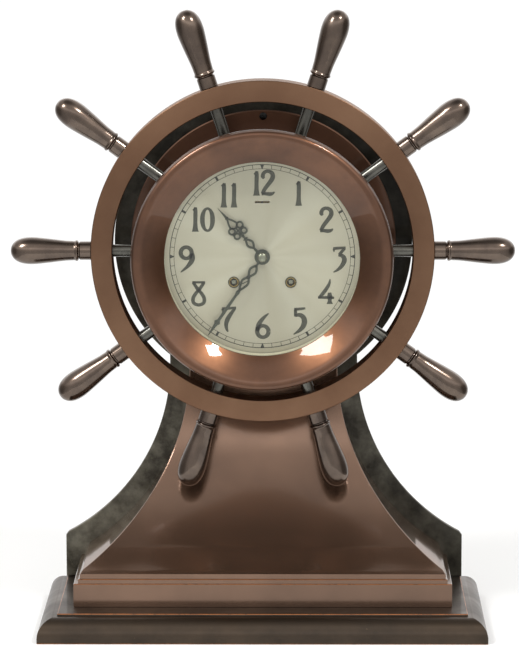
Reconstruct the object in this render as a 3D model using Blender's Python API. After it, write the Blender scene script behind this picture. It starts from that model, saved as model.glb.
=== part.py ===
"""Ship's wheel mantel clock: an eight-day striking clock in a round case, framed by a ten-spoke
steering wheel and carried by a swept bronze pedestal on a moulded plinth.

Units are metres, +Z is up and the dial faces -Y.  The origin is the middle of the plinth's
underside.  Depths along the clock's axis are counted from the wheel's own plane, forwards negative.
"""
from math import acos, atan2, cos, pi, radians, sin, sqrt

import bmesh
import bpy
from mathutils import Matrix, Vector

for old in list(bpy.data.objects):
    bpy.data.objects.remove(old, do_unlink=True)

# ---- Driving dimensions --------------------------------------------------------------------------
MM = 0.001
GAP = 0.3 * MM                       # room left between two pieces that touch

AXIS_Y = 7.3 * MM                    # the wheel's plane, and the clock's axis through it
AXIS_Z = 415.0 * MM

PLINTH_HALF_X = 245.3 * MM
PLINTH_HALF_Y = 112.5 * MM
PLINTH_HEIGHT = 28.9 * MM
PLINTH_EDGE = 21.1 * MM              # how far the moulding stands out around the top panel
PLINTH_WALL = 6.0 * MM

PLATE_FRONT = 74.7 * MM              # the pedestal's back casting
PLATE_BACK = 82.7 * MM
PLATE_HALF_X = 225.2 * MM
PLATE_HEAD_R = 167.0 * MM
NECK_HALF_X = 105.6 * MM
FLARE_R = 221.1 * MM                 # radius of the concave sides
FLARE_Z = 276.1 * MM                 # height where the sides become upright

BODY_INSET = 22.5 * MM               # how far the front casting stands in from the back one
BODY_HALF_X = 201.0 * MM
BODY_WALL = 6.0 * MM
BLOCK_HALF_X = 208.0 * MM
BLOCK_FRONT = -69.2 * MM
BLOCK_TOP = 55.1 * MM
SWEEP_BOTTOM = (-66.0 * MM, 65.5 * MM)
SWEEP_TOP = (52.0 * MM, FLARE_Z)

RIM_OUTER = 188.7 * MM
RIM_INNER = 165.2 * MM
RIM_HALF_DEPTH = 15.0 * MM
SPOKES = 10
SPOKE_R = 6.8 * MM
HANDLE_END = 277.5 * MM

CASE_R = 125.0 * MM
CASE_WALL = 3.5 * MM
CASE_MOUTH = -62.7 * MM
CASE_FLOOR = 70.4 * MM
FLANGE_R = 148.3 * MM
FLANGE_FRONT = 67.7 * MM
FLANGE_SCREW_R = 141.4 * MM

BEZEL_R = 142.0 * MM
BEZEL_BACK = -63.0 * MM
DIAL_WINDOW_R = 105.8 * MM
DIAL_FRONT = -46.0 * MM
DIAL_BACK = -44.5 * MM
DIAL_R = 115.0 * MM
HINGE_X = -137.0 * MM
HINGE_Y = -60.0 * MM

WINDING_X = 31.0 * MM                # the two winding squares, from the dial's centre
WINDING_Z = -28.2 * MM
REGULATOR_SLOT_Z = 59.6 * MM

FRONT_PLATE = (-32.0 * MM, -29.5 * MM)
BACK_PLATE = (-4.0 * MM, -1.5 * MM)
MOVEMENT_R = 72.0 * MM
PILLAR_RING_R = 66.0 * MM

# ---- Helpers -------------------------------------------------------------------------------------


def linear(value):
    """One sRGB channel, 0 to 1, as linear light."""
    return value / 12.92 if value <= 0.04045 else ((value + 0.055) / 1.055) ** 2.4


def material(name, colour, roughness, metallic):
    """A Principled material; colour is an sRGB hex string."""
    made = bpy.data.materials.new(name)
    made.use_nodes = True
    shader = made.node_tree.nodes["Principled BSDF"]
    channels = [linear(int(colour[i:i + 2], 16) / 255) for i in (0, 2, 4)]
    shader.inputs["Base Color"].default_value = (*channels, 1)
    shader.inputs["Roughness"].default_value = roughness
    shader.inputs["Metallic"].default_value = metallic
    return made


def add_object(name, bm, finish, location=(0, 0, 0), smooth=True):
    """Turns a bmesh into a named object with outward faces."""
    bmesh.ops.remove_doubles(bm, verts=bm.verts, dist=1e-6)
    bmesh.ops.dissolve_degenerate(bm, dist=1e-6, edges=bm.edges)
    bmesh.ops.recalc_face_normals(bm, faces=bm.faces)
    mesh = bpy.data.meshes.new(name)
    bm.to_mesh(mesh)
    bm.free()
    if finish:
        mesh.materials.append(finish)
    if smooth:
        mesh.shade_smooth()
        mesh.set_sharp_from_angle(angle=radians(35))
    piece = bpy.data.objects.new(name, mesh)
    piece.location = location
    bpy.context.collection.objects.link(piece)
    return piece


def on_axis(x=0.0, z=0.0, y=0.0):
    """A point given from the clock's centre."""
    return (x, AXIS_Y + y, AXIS_Z + z)


def turned(profile, segments, around=(0, 1, 0)):
    """A profile of (radius, distance along the axis) spun around Y or Z; it closes on itself, or
    runs from the axis back to the axis."""
    bm = bmesh.new()
    if around[1]:
        points = [Vector((r, along, 0)) for r, along in profile]
    else:
        points = [Vector((r, 0, along)) for r, along in profile]
    verts = [bm.verts.new(p) for p in points]
    edges = [bm.edges.new(pair) for pair in zip(verts, verts[1:])]
    if profile[0][0] > 0:
        edges.append(bm.edges.new((verts[-1], verts[0])))
    bmesh.ops.spin(bm, geom=verts + edges, cent=(0, 0, 0), axis=around, angle=2 * pi,
                   steps=segments, use_merge=True)
    return bm


def rod(radius, start, end, sides=12, x=0.0, z=0.0):
    """A round bar along Y."""
    turn = [2 * pi * i / sides for i in range(sides)]
    return slab([(x + radius * cos(a), z + radius * sin(a)) for a in turn], start, end)


def slab(outline, front, back):
    """An (x, z) outline extruded along Y."""
    bm = bmesh.new()
    face = bm.faces.new([bm.verts.new((x, front, z)) for x, z in outline])
    grown = bmesh.ops.extrude_face_region(bm, geom=[face])
    moved = [item for item in grown["geom"] if isinstance(item, bmesh.types.BMVert)]
    bmesh.ops.translate(bm, verts=moved, vec=(0, back - front, 0))
    return bm


def box(x0, x1, y0, y1, z0, z1):
    """A plain block between two corners."""
    return slab([(x0, z0), (x1, z0), (x1, z1), (x0, z1)], y0, y1)


def lofted(rings):
    """Solid through a stack of rings with the same number of corners, capped at both ends."""
    bm = bmesh.new()
    rows = [[bm.verts.new(point) for point in ring] for ring in rings]
    count = len(rows[0])
    bm.faces.new(rows[0])
    bm.faces.new(rows[-1])
    for low, high in zip(rows, rows[1:]):
        for i in range(count):
            j = (i + 1) % count
            bm.faces.new((low[i], low[j], high[j], high[i]))
    return bm


def stacked(levels, back):
    """Rectangles (half width, front, height) joined from the bottom up, all flush at the back."""
    return lofted([[(-half, front, z), (half, front, z), (half, back, z), (-half, back, z)]
                   for half, front, z in levels])


def helper(name, bm, location):
    """A cutter or an added shape: wire only, and no piece of the clock."""
    guide = add_object(name, bm, None, location, smooth=False)
    guide.hide_render = True
    guide.display_type = 'WIRE'
    return guide


def combine(piece, bm, operation, location=None):
    """Adds or removes a shape with a Boolean; the shape is in the piece's own coordinates."""
    place = piece.location if location is None else location
    tool = helper("tool_for_" + piece.name, bm, place)
    step = piece.modifiers.new(operation.lower(), 'BOOLEAN')
    step.operation = operation
    step.solver = 'EXACT'
    step.object = tool


def arc(cx, cz, radius, start, end, steps):
    """Points on an arc, angles in degrees, both ends included."""
    turn = [radians(start + (end - start) * i / steps) for i in range(steps + 1)]
    return [(cx + radius * cos(a), cz + radius * sin(a)) for a in turn]


def meeting_point(a, from_a, b, from_b, side):
    """The point at two given distances from a and b, on the left (+1) or right (-1) of a to b."""
    reach = sqrt((b[0] - a[0]) ** 2 + (b[1] - a[1]) ** 2)
    swing = acos((from_a ** 2 + reach ** 2 - from_b ** 2) / (2 * from_a * reach))
    heading = atan2(b[1] - a[1], b[0] - a[0]) + side * swing
    return (a[0] + from_a * cos(heading), a[1] + from_a * sin(heading))


def bearing(a, b):
    """Direction from a to b in radians."""
    return atan2(b[1] - a[1], b[0] - a[0])


def gear(teeth, module, facing, tooth_there=True, addendum=0.65, dedendum=1.0):
    """Outline of a wheel with pointed teeth; one tooth, or one gap, faces the given direction."""
    pitch = module * teeth / 2
    first = facing if tooth_there else facing + pi / teeth
    outline = []
    for i in range(teeth):
        middle = first + 2 * pi * i / teeth
        for angle, radius in ((middle, addendum), (middle + pi / teeth, -dedendum)):
            reach = pitch + radius * module
            outline.append((reach * cos(angle), reach * sin(angle)))
    return outline


# ---- Finishes ------------------------------------------------------------------------------------
BRONZE = material("bronze_brown", "6e4a3a", 0.34, 0.9)
DARK_BRONZE = material("bronze_dark_patina", "3b3a31", 0.55, 0.7)
PLINTH_BRONZE = material("bronze_plinth", "463a2f", 0.45, 0.8)
HANDLE_BRONZE = material("bronze_handle", "4c4038", 0.25, 0.9)
RIM_BRONZE = material("bronze_rim", "7a5541", 0.42, 0.9)
BEZEL_BRONZE = material("bronze_bezel", "7b5546", 0.24, 0.95)
FELT = material("green_felt", "25372c", 0.95, 0.0)
STEEL = material("steel", "8d8f90", 0.3, 1.0)
BLUED_STEEL = material("blackened_steel", "1f2020", 0.35, 0.9)
BRASS = material("brass", "b08d4c", 0.3, 1.0)
SILVERED = material("silvered_brass", "cfcbb6", 0.45, 0.6)
CLEAR = material("clock_glass", "f4f8f6", 0.03, 0.0)
BELL_METAL = material("bell_metal", "b79a5a", 0.25, 1.0)


# ---- Plinth, felt and bolts ----------------------------------------------------------------------
def make_plinth():
    """Hollow casting: a quarter-round moulding under a low raised panel, open underneath."""
    edge = [(0.0, 0.0), (0.0, 7.5), (1.6, 13.6), (5.6, 19.2), (11.6, 23.4), (19.2, 25.6),
            (20.9, 26.0), (21.1, 28.9)]
    rings = []
    for inset, z in edge:
        x, y = PLINTH_HALF_X - inset * MM, PLINTH_HALF_Y - inset * MM
        rings.append([(-x, -y, z * MM), (x, -y, z * MM), (x, y, z * MM), (-x, y, z * MM)])
    bm = lofted(rings)
    plinth = add_object("plinth", bm, PLINTH_BRONZE)
    half_x = PLINTH_HALF_X - PLINTH_EDGE - PLINTH_WALL
    half_y = PLINTH_HALF_Y - PLINTH_EDGE - PLINTH_WALL
    combine(plinth, box(-half_x, half_x, -half_y, half_y, -5 * MM, PLINTH_HEIGHT - PLINTH_WALL),
            'DIFFERENCE')
    half_x -= GAP
    half_y -= GAP
    add_object("base_felt", box(-half_x, half_x, -half_y, half_y, 0, 3 * MM), FELT, smooth=False)
    return plinth


def make_bolt(name, x, y):
    """A bolt from inside the plinth up into the floor of the front casting."""
    head_r, shank_r = 7 * MM, 4 * MM
    under = PLINTH_HEIGHT - PLINTH_WALL - GAP
    profile = [(0, under - 6 * MM), (head_r, under - 6 * MM), (head_r, under), (shank_r, under),
               (shank_r, PLINTH_HEIGHT + 6 * MM), (0, PLINTH_HEIGHT + 6 * MM)]
    return add_object(name, turned(profile, 12, (0, 0, 1)), STEEL, (x, y, 0))


def bolt_hole():
    """The clearance hole of one bolt, along Z."""
    radius, top = 4.4 * MM, PLINTH_HEIGHT + 6.5 * MM
    return turned([(0, -1 * MM), (radius, -1 * MM), (radius, top), (0, top)], 12, (0, 0, 1))


# ---- Pedestal ------------------------------------------------------------------------------------
def flare_x(z, inset=0.0):
    """Half width of the concave side at a height."""
    radius = FLARE_R + inset
    centre = NECK_HALF_X + FLARE_R
    return centre - sqrt(max(radius ** 2 - (FLARE_Z - min(z, FLARE_Z)) ** 2, 0))


def make_pedestal_back():
    """Flat back casting: flared foot, upright neck and round head behind the case."""
    foot = PLINTH_HEIGHT + GAP
    centre_x = NECK_HALF_X + FLARE_R
    shoulder = FLARE_Z - sqrt(FLARE_R ** 2 - (centre_x - PLATE_HALF_X) ** 2)
    low = 180 + acos((centre_x - PLATE_HALF_X) / FLARE_R) * 180 / pi
    right = [(PLATE_HALF_X, foot), (PLATE_HALF_X, shoulder - 3 * MM)]
    right += arc(centre_x, FLARE_Z, FLARE_R, low - 1.5, 180, 12)
    neck = atan2(-sqrt(PLATE_HEAD_R ** 2 - NECK_HALF_X ** 2), NECK_HALF_X) * 180 / pi
    head = arc(0, AXIS_Z, PLATE_HEAD_R, neck, 180 - neck, 36)
    left = [(-x, z) for x, z in reversed(right)]
    plate = add_object("pedestal_back", slab(right + head + left, PLATE_FRONT, PLATE_BACK),
                       DARK_BRONZE, (0, AXIS_Y, 0))
    return plate


def body_levels(shrink):
    """Half width, front and height of the front casting, shrunk by a wall."""
    sweep_r = ((SWEEP_TOP[0] - SWEEP_BOTTOM[0]) ** 2 + (FLARE_Z - SWEEP_BOTTOM[1]) ** 2) \
        / (2 * (SWEEP_TOP[0] - SWEEP_BOTTOM[0]))
    sweep_y = SWEEP_TOP[0] - sweep_r
    fillet = (BODY_HALF_X + 2 * MM, BLOCK_FRONT + 1.4 * MM)
    levels = [(BLOCK_HALF_X, BLOCK_FRONT, PLINTH_HEIGHT + GAP),
              (BLOCK_HALF_X, BLOCK_FRONT, BLOCK_TOP - 0.8 * MM), (*fillet, BLOCK_TOP),
              (*fillet, 59.4 * MM), (BODY_HALF_X, SWEEP_BOTTOM[0], 60.2 * MM)]
    steps = 12
    for i in range(steps + 1):
        z = SWEEP_BOTTOM[1] + (FLARE_Z - SWEEP_BOTTOM[1]) * i / steps
        half = min(flare_x(z, BODY_INSET), BODY_HALF_X)
        front = sweep_y + sqrt(sweep_r ** 2 - (FLARE_Z - z) ** 2)
        levels.append((half, front, z))
    levels.append((levels[-1][0], levels[-1][1], 318 * MM))
    return [(half - shrink, front + shrink, z) for half, front, z in levels]


def make_pedestal_front():
    """Hollow front casting: a block, two fillets and a swept body, open towards the back plate."""
    back = PLATE_FRONT - GAP
    body = add_object("pedestal_front", stacked(body_levels(0), back), BRONZE, (0, AXIS_Y, 0))
    floor = PLINTH_HEIGHT + GAP + 9 * MM
    roof = FLARE_Z - 16 * MM
    inner = [(half, front, max(z, floor)) for half, front, z in body_levels(BODY_WALL)
             if z <= roof]
    inner = [level for level in inner if level[2] > floor or level is inner[0]]
    combine(body, stacked(inner, back + 10 * MM), 'DIFFERENCE')
    seat = [(0, -90 * MM), (CASE_R + GAP, -90 * MM), (CASE_R + GAP, FLANGE_FRONT - GAP),
            (FLANGE_R + GAP, FLANGE_FRONT - GAP), (FLANGE_R + GAP, 90 * MM), (0, 90 * MM)]
    combine(body, turned(seat, 60), 'DIFFERENCE', (0, AXIS_Y, AXIS_Z))
    return body


# ---- Case, flange and screws ---------------------------------------------------------------------
def make_case():
    """A cup with a mounting flange; its mouth faces the dial."""
    back = PLATE_FRONT - GAP
    bore = CASE_R - CASE_WALL
    profile = [(0, CASE_FLOOR), (bore, CASE_FLOOR), (bore, CASE_MOUTH), (CASE_R, CASE_MOUTH),
               (CASE_R, FLANGE_FRONT), (FLANGE_R, FLANGE_FRONT), (FLANGE_R, back), (0, back)]
    return add_object("case_drum", turned(profile, 40), BRONZE, on_axis())


def flange_screw_places():
    """Three screws: one at twelve o'clock, the others at four and eight."""
    return [(FLANGE_SCREW_R * sin(a), FLANGE_SCREW_R * cos(a)) for a in
            (radians(0), radians(120), radians(240))]


# ---- Wheel ---------------------------------------------------------------------------------------
def make_rim():
    """Square-section ring with ten radial holes for the spokes."""
    half = RIM_HALF_DEPTH
    profile = [(RIM_INNER, -half), (RIM_OUTER, -half), (RIM_OUTER, half), (RIM_INNER, half)]
    rim = add_object("wheel_rim", turned(profile, 50), RIM_BRONZE, on_axis())
    for i in range(SPOKES):
        bar = turned([(0, 150 * MM), (SPOKE_R + GAP, 150 * MM), (SPOKE_R + GAP, 200 * MM),
                      (0, 200 * MM)], 8, (0, 0, 1))
        bmesh.ops.rotate(bar, verts=bar.verts, cent=(0, 0, 0),
                         matrix=Matrix.Rotation(spoke_angle(i), 3, 'Y'))
        combine(rim, bar, 'DIFFERENCE')
    return rim


def spoke_angle(i):
    """Turn of a spoke about the clock's axis, clockwise from straight up."""
    return 2 * pi * (i + 0.5) / SPOKES


def make_spoke(i):
    """One turned piece: rod, stub, collar and a handle that swells to a round end."""
    start = CASE_R + GAP
    rim = RIM_OUTER + GAP
    handle = [(10.2, 202.0), (11.5, 203.6), (11.5, 205.6), (10.7, 207.8), (11.4, 219.0),
              (13.6, 238.0), (15.0, 255.5), (13.7, 265.5), (10.0, 272.5)]
    profile = [(0, start), (SPOKE_R, start), (SPOKE_R, rim), (10.2 * MM, rim)]
    profile += [(r * MM, along * MM) for r, along in handle]
    profile += [(5.2 * MM, HANDLE_END - 1.2 * MM), (0, HANDLE_END)]
    bm = turned(profile, 8, (0, 0, 1))
    bmesh.ops.rotate(bm, verts=bm.verts, cent=(0, 0, 0),
                     matrix=Matrix.Rotation(spoke_angle(i), 3, 'Y'))
    return add_object("spoke_handle_%02d" % (i + 1), bm, HANDLE_BRONZE, on_axis())


# ---- Bezel, glass, sight ring and hinge ----------------------------------------------------------
def make_bezel():
    """Domed ring with a rolled edge, a seating rib behind it and a lip for the glass."""
    outside = [(105.8, -66.0), (105.8, -69.2), (113.0, -76.8), (121.5, -83.0), (129.0, -86.2),
               (134.5, -86.0), (139.5, -82.2), (142.0, -73.0), (141.2, -63.0)]
    inside = [(138.8, -63.0), (138.8, -75.5), (133.6, -82.2), (128.0, -82.4), (126.5, -63.0),
              (121.8, -63.0), (121.8, -78.4), (110.4, -70.2), (110.4, -66.0)]
    profile = [(r * MM, along * MM) for r, along in outside + inside]
    hinge = (HINGE_X, HINGE_Y)
    bm = turned(profile, 40)
    bmesh.ops.translate(bm, verts=bm.verts, vec=(-hinge[0], -hinge[1], 0))
    return add_object("bezel", bm, BEZEL_BRONZE, on_axis(x=hinge[0], y=hinge[1]))


def make_glass_and_sight_ring():
    """Flat glass behind the bezel's lip, held by a silvered ring that reaches back to the dial."""
    glass = rod(109.8 * MM, -65.7 * MM, -63.7 * MM, 40)
    ring = turned([(r * MM, along * MM) for r, along in
                   ((106.3, -63.4), (120.8, -63.4), (120.8, -61.9), (108.8, -61.9),
                    (108.8, -48.5), (106.3, -48.5))], 36)
    for name, bm, finish in (("bezel_glass", glass, CLEAR), ("sight_ring", ring, SILVERED)):
        bmesh.ops.translate(bm, verts=bm.verts, vec=(-HINGE_X, -HINGE_Y, 0))
        add_object(name, bm, finish, on_axis(x=HINGE_X, y=HINGE_Y))


def upright(radius, low, high, sides=10):
    """A round bar along Z."""
    return turned([(0, low), (radius, low), (radius, high), (0, high)], sides, (0, 0, 1))


def make_hinge():
    """Two leaves and a pin, hidden behind the bezel's edge at nine o'clock."""
    place = on_axis(x=HINGE_X, y=HINGE_Y)
    knuckle_r, pin_r = 2.5 * MM, 1.2 * MM
    middle, end = 4.7 * MM, 14 * MM
    case_leaf = add_object("hinge_case_leaf", upright(knuckle_r, -end, end), BRASS, place)
    combine(case_leaf, box(0, 11.6 * MM, -1.2 * MM, 1.2 * MM, -end, end), 'UNION')
    combine(case_leaf, box(-5 * MM, 5 * MM, -5 * MM, 5 * MM, -middle - GAP, middle + GAP),
            'DIFFERENCE')
    combine(case_leaf, upright(pin_r + GAP, -20 * MM, 20 * MM, 10), 'DIFFERENCE')
    bezel_leaf = add_object("hinge_bezel_leaf", upright(knuckle_r, -middle, middle), BRASS, place)
    combine(bezel_leaf, box(-4 * MM, 0, -2.7 * MM, 0.4 * MM, -middle, middle), 'UNION')
    combine(bezel_leaf, upright(pin_r + GAP, -20 * MM, 20 * MM, 10), 'DIFFERENCE')
    add_object("hinge_pin", upright(pin_r, -end - 1 * MM, end + 1 * MM, 10), STEEL, place)


def make_catch():
    """Bent spring on the case at three o'clock, reaching into the channel behind the bezel."""
    strip = [(125.4, -46.0), (125.4, -60.4), (127.2, -63.2), (127.2, -72.0), (128.5, -72.0),
             (128.5, -62.2), (126.8, -59.8), (126.8, -46.0)]
    rings = [[(x * MM, y * MM, z * MM) for x, y in strip] for z in (-5, 5)]
    return add_object("bezel_catch", lofted(rings), BLUED_STEEL, on_axis(), smooth=False)


# ---- Dial, hands and regulator -------------------------------------------------------------------
MINUTE_TURN = radians(214.6)         # the hands stand near 10:36, clockwise from twelve
HOUR_TURN = radians(317.9)


def make_dial():
    """Silvered disc with holes for the hands, the two winding squares and the regulator."""
    dial = add_object("dial_plate", rod(DIAL_R, DIAL_FRONT, DIAL_BACK, 40), SILVERED, on_axis())
    through = (DIAL_FRONT - 5 * MM, DIAL_BACK + 5 * MM)
    combine(dial, rod(6 * MM, *through, 12), 'DIFFERENCE')
    for x in (-WINDING_X, WINDING_X):
        combine(dial, rod(5.4 * MM, *through, 10, x, WINDING_Z), 'DIFFERENCE')
    combine(dial, box(-8 * MM, 8 * MM, *through, REGULATOR_SLOT_Z - 1.1 * MM,
                      REGULATOR_SLOT_Z + 1.1 * MM), 'DIFFERENCE')
    return dial


def make_grommet(name, x):
    """Brass bush in a winding hole."""
    profile = [(4.0, -46.9), (6.3, -46.9), (6.3, -46.3), (4.9, -46.3), (4.9, -43.9), (4.0, -43.9)]
    bm = turned([(r * MM, along * MM) for r, along in profile], 10)
    return add_object(name, bm, BRASS, on_axis(x=x, z=WINDING_Z))


def hand_outline(half_widths):
    """Symmetric outline from (distance, half width) pairs, pointing up."""
    right = [(half * MM, along * MM) for along, half in half_widths]
    left = [(-x, z) for x, z in reversed(right)]
    return right + left


def make_hand(name, half_widths, front, back, boss_r, hole_r, turn):
    """A flat hand with a round boss, turned clockwise to its place."""
    bm = slab(hand_outline(half_widths), front, back)
    bmesh.ops.rotate(bm, verts=bm.verts, cent=(0, 0, 0), matrix=Matrix.Rotation(turn, 3, 'Y'))
    hand = add_object(name, bm, BLUED_STEEL, on_axis(), smooth=False)
    combine(hand, rod(boss_r, front - 0.2 * MM, back + 0.2 * MM, 12), 'UNION')
    combine(hand, rod(hole_r, front - 5 * MM, back + 5 * MM, 12), 'DIFFERENCE')
    return hand


def make_hands():
    """Hour hand with a wide cross head, minute hand with a narrow chain head, and the nut."""
    hour = [(6, 1.6), (14, 1.4), (18, 3.2), (24, 3.4), (28, 1.6), (33, 4.0), (38, 9.4), (44, 9.2),
            (46, 4.8), (50, 5.6), (56, 3.2), (60, 2.2), (65, 0.6), (72, 0.3)]
    minute = [(6, 1.4), (14, 2.6), (22, 3.4), (30, 2.2), (38, 3.4), (46, 2.2), (54, 3.6),
              (62, 2.0), (70, 1.0), (88, 0.7), (104, 0.3)]
    make_hand("hour_hand", hour, -50.3 * MM, -49.5 * MM, 8.0 * MM, 4.9 * MM, HOUR_TURN)
    make_hand("minute_hand", minute, -53.2 * MM, -52.4 * MM, 7.2 * MM, 2.3 * MM, MINUTE_TURN)
    nut = turned([(2.3 * MM, -56.2 * MM), (4.4 * MM, -56.2 * MM), (5.4 * MM, -55.2 * MM),
                  (5.4 * MM, -53.7 * MM), (2.3 * MM, -53.7 * MM)], 10)
    add_object("hand_nut", nut, STEEL, on_axis())


# ---- Movement ------------------------------------------------------------------------------------
# Places are (x, z) from the clock's centre.  Tooth counts and modules fix the distances.
CENTRE = (0.0, 0.0)
TIME_BARREL = (WINDING_X, WINDING_Z)
STRIKE_BARREL = (-WINDING_X, WINDING_Z)
GREAT, GREAT_PINION, GREAT_M = 48, 8, 1.2 * MM
SECOND, CENTRE_PINION, SECOND_M = 40, 8, 1.0 * MM
CENTRE_TEETH, THIRD_PINION, CENTRE_M = 40, 8, 1.0 * MM
THIRD, ESCAPE_PINION, THIRD_M = 36, 6, 1.0 * MM
CANNON, MINUTE, MINUTE_PINION, HOUR, MOTION_M = 10, 30, 8, 32, 1.2 * MM
PIN_WHEEL, FLY_PINION, PIN_M = 32, 8, 1.0 * MM
PIVOT_R = 1.2 * MM
MESH_ROOM = 0.25 * MM                # wheels stand this much further apart than their pitch circles


def distance(teeth_a, teeth_b, module):
    """Distance between two meshed arbors."""
    return module * (teeth_a + teeth_b) / 2 + MESH_ROOM


SECOND_AT = meeting_point(CENTRE, distance(SECOND, CENTRE_PINION, SECOND_M), TIME_BARREL,
                          distance(GREAT, GREAT_PINION, GREAT_M), 1)
THIRD_AT = (0.0, distance(CENTRE_TEETH, THIRD_PINION, CENTRE_M))
ESCAPE_AT = (THIRD_AT[0] - distance(THIRD, ESCAPE_PINION, THIRD_M) * cos(radians(30)),
             THIRD_AT[1] + distance(THIRD, ESCAPE_PINION, THIRD_M) * sin(radians(30)))
BALANCE_AT = (0.0, 42.0 * MM)
PALLET_AT = (ESCAPE_AT[0] + 10.6 * MM * cos(bearing(ESCAPE_AT, BALANCE_AT)),
             ESCAPE_AT[1] + 10.6 * MM * sin(bearing(ESCAPE_AT, BALANCE_AT)))
MINUTE_AT = (0.0, -distance(CANNON, MINUTE, MOTION_M))
PIN_AT = (-SECOND_AT[0], SECOND_AT[1])
FLY_AT = (PIN_AT[0] - distance(PIN_WHEEL, FLY_PINION, PIN_M) * cos(radians(60)),
          PIN_AT[1] + distance(PIN_WHEEL, FLY_PINION, PIN_M) * sin(radians(60)))
HAMMER_AT = (-60.0 * MM, -22.0 * MM)
PIVOT_DEPTH = 1.5 * MM               # how far a pivot stands in its plate


def pillar_places():
    """Four pillars, clear of the two barrels; angles run anticlockwise from three o'clock."""
    return [(PILLAR_RING_R * cos(radians(a)), PILLAR_RING_R * sin(radians(a)))
            for a in (45, 135, 249, 291)]


def make_plates():
    """Two round brass plates, drilled for the pillars and for every pivot."""
    shared = [(place, 4.8 * MM) for place in pillar_places()]
    shared += [(TIME_BARREL, 3.6 * MM), (STRIKE_BARREL, 3.6 * MM), (CENTRE, 2.5 * MM)]
    shared += [(place, PIVOT_R + 0.5 * MM) for place in
               (SECOND_AT, THIRD_AT, ESCAPE_AT, PIN_AT, FLY_AT)]
    front_only = [(place, PIVOT_R + 0.5 * MM) for place in (PALLET_AT, BALANCE_AT, MINUTE_AT)]
    back_only = [(HAMMER_AT, 2.1 * MM)]
    for name, depth, extra in (("movement_front_plate", FRONT_PLATE, front_only),
                               ("movement_back_plate", BACK_PLATE, back_only)):
        plate = add_object(name, rod(MOVEMENT_R, *depth, 32), BRASS, on_axis())
        for (x, z), radius in shared + extra:
            combine(plate, rod(radius, depth[0] - 5 * MM, depth[1] + 5 * MM, 8, x, z),
                    'DIFFERENCE')


def make_wheel(name, at, arbor, parts, finish=BRASS, arbor_r=PIVOT_R):
    """An arbor with the wheels and pinions fixed on it; parts are (outline, front, back)."""
    piece = add_object(name, rod(arbor_r, *arbor, 8), finish, on_axis(x=at[0], z=at[1]))
    for outline, front, back in parts:
        combine(piece, slab(outline, front * MM, back * MM), 'UNION')
    return piece


def make_barrel(name, at, partner):
    """Spring barrel with the great wheel at its front edge, bored for the winding arbor."""
    teeth = gear(GREAT, GREAT_M, bearing(at, partner))
    barrel = add_object(name, slab(teeth, -23.5 * MM, -21.5 * MM), BRASS,
                        on_axis(x=at[0], z=at[1]))
    combine(barrel, rod(25.5 * MM, -22.5 * MM, -9.5 * MM, 24), 'UNION')
    combine(barrel, rod(3.4 * MM, -30 * MM, 0, 10), 'DIFFERENCE')


def make_winding_arbor(name, at):
    """Round arbor through both plates with a square end for the key."""
    arbor = add_object(name, rod(2.9 * MM, -33 * MM, -2 * MM, 10), STEEL,
                       on_axis(x=at[0], z=at[1]))
    half = 2 * MM
    combine(arbor, box(-half, half, -44.8 * MM, -32.5 * MM, -half, half), 'UNION')


def make_time_train():
    """Barrel, second, centre, third and escape wheels, each with its pinion."""
    inner_front = FRONT_PLATE[1] - PIVOT_DEPTH
    inner_back = BACK_PLATE[0] + PIVOT_DEPTH
    arbor = (inner_front, inner_back)
    make_barrel("time_barrel", TIME_BARREL, SECOND_AT)
    make_winding_arbor("time_winding_arbor", TIME_BARREL)
    make_wheel("second_wheel", SECOND_AT, arbor, [
        (gear(SECOND, SECOND_M, bearing(SECOND_AT, CENTRE)), -28.3, -26.8),
        (gear(GREAT_PINION, GREAT_M, bearing(SECOND_AT, TIME_BARREL), False), -24.4, -20.8)])
    make_wheel("centre_wheel", CENTRE, (-55.6 * MM, inner_back), [
        (gear(CENTRE_TEETH, CENTRE_M, bearing(CENTRE, THIRD_AT)), -7.6, -6.1),
        (gear(CENTRE_PINION, SECOND_M, bearing(CENTRE, SECOND_AT), False), -28.8, -26.0),
        (gear(CANNON, MOTION_M, bearing(CENTRE, MINUTE_AT), False), -38.0, -34.9)],
        arbor_r=2.0 * MM)
    make_wheel("third_wheel", THIRD_AT, arbor, [
        (gear(THIRD, THIRD_M, bearing(THIRD_AT, ESCAPE_AT)), -19.5, -18.0),
        (gear(THIRD_PINION, CENTRE_M, bearing(THIRD_AT, CENTRE), False), -8.4, -5.4)])
    escape = gear(15, 1.0 * MM, bearing(ESCAPE_AT, PALLET_AT), False, 0.4, 1.2)
    make_wheel("escape_wheel", ESCAPE_AT, (-36.0 * MM, inner_back), [
        (gear(ESCAPE_PINION, THIRD_M, bearing(ESCAPE_AT, THIRD_AT), False), -20.2, -17.4),
        (escape, -35.4, -34.6)])


def make_motion_work():
    """The minute wheel and the hour wheel with its pipe, between front plate and dial."""
    make_wheel("minute_wheel", MINUTE_AT, (-42.0 * MM, FRONT_PLATE[0] + PIVOT_DEPTH), [
        (gear(MINUTE, MOTION_M, bearing(MINUTE_AT, CENTRE)), -37.4, -35.9),
        (gear(MINUTE_PINION, MOTION_M, bearing(MINUTE_AT, CENTRE), False), -41.6, -38.6)])
    pipe = [(3.2 * MM, -51.2 * MM), (4.6 * MM, -51.2 * MM), (4.6 * MM, -39.5 * MM),
            (3.2 * MM, -39.5 * MM)]
    hour = add_object("hour_wheel", turned(pipe, 14), BRASS, on_axis())
    combine(hour, slab(gear(HOUR, MOTION_M, bearing(CENTRE, MINUTE_AT)), -40.8 * MM, -39.3 * MM),
            'UNION')
    combine(hour, rod(3.2 * MM, -55 * MM, -30 * MM, 14), 'DIFFERENCE')


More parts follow.
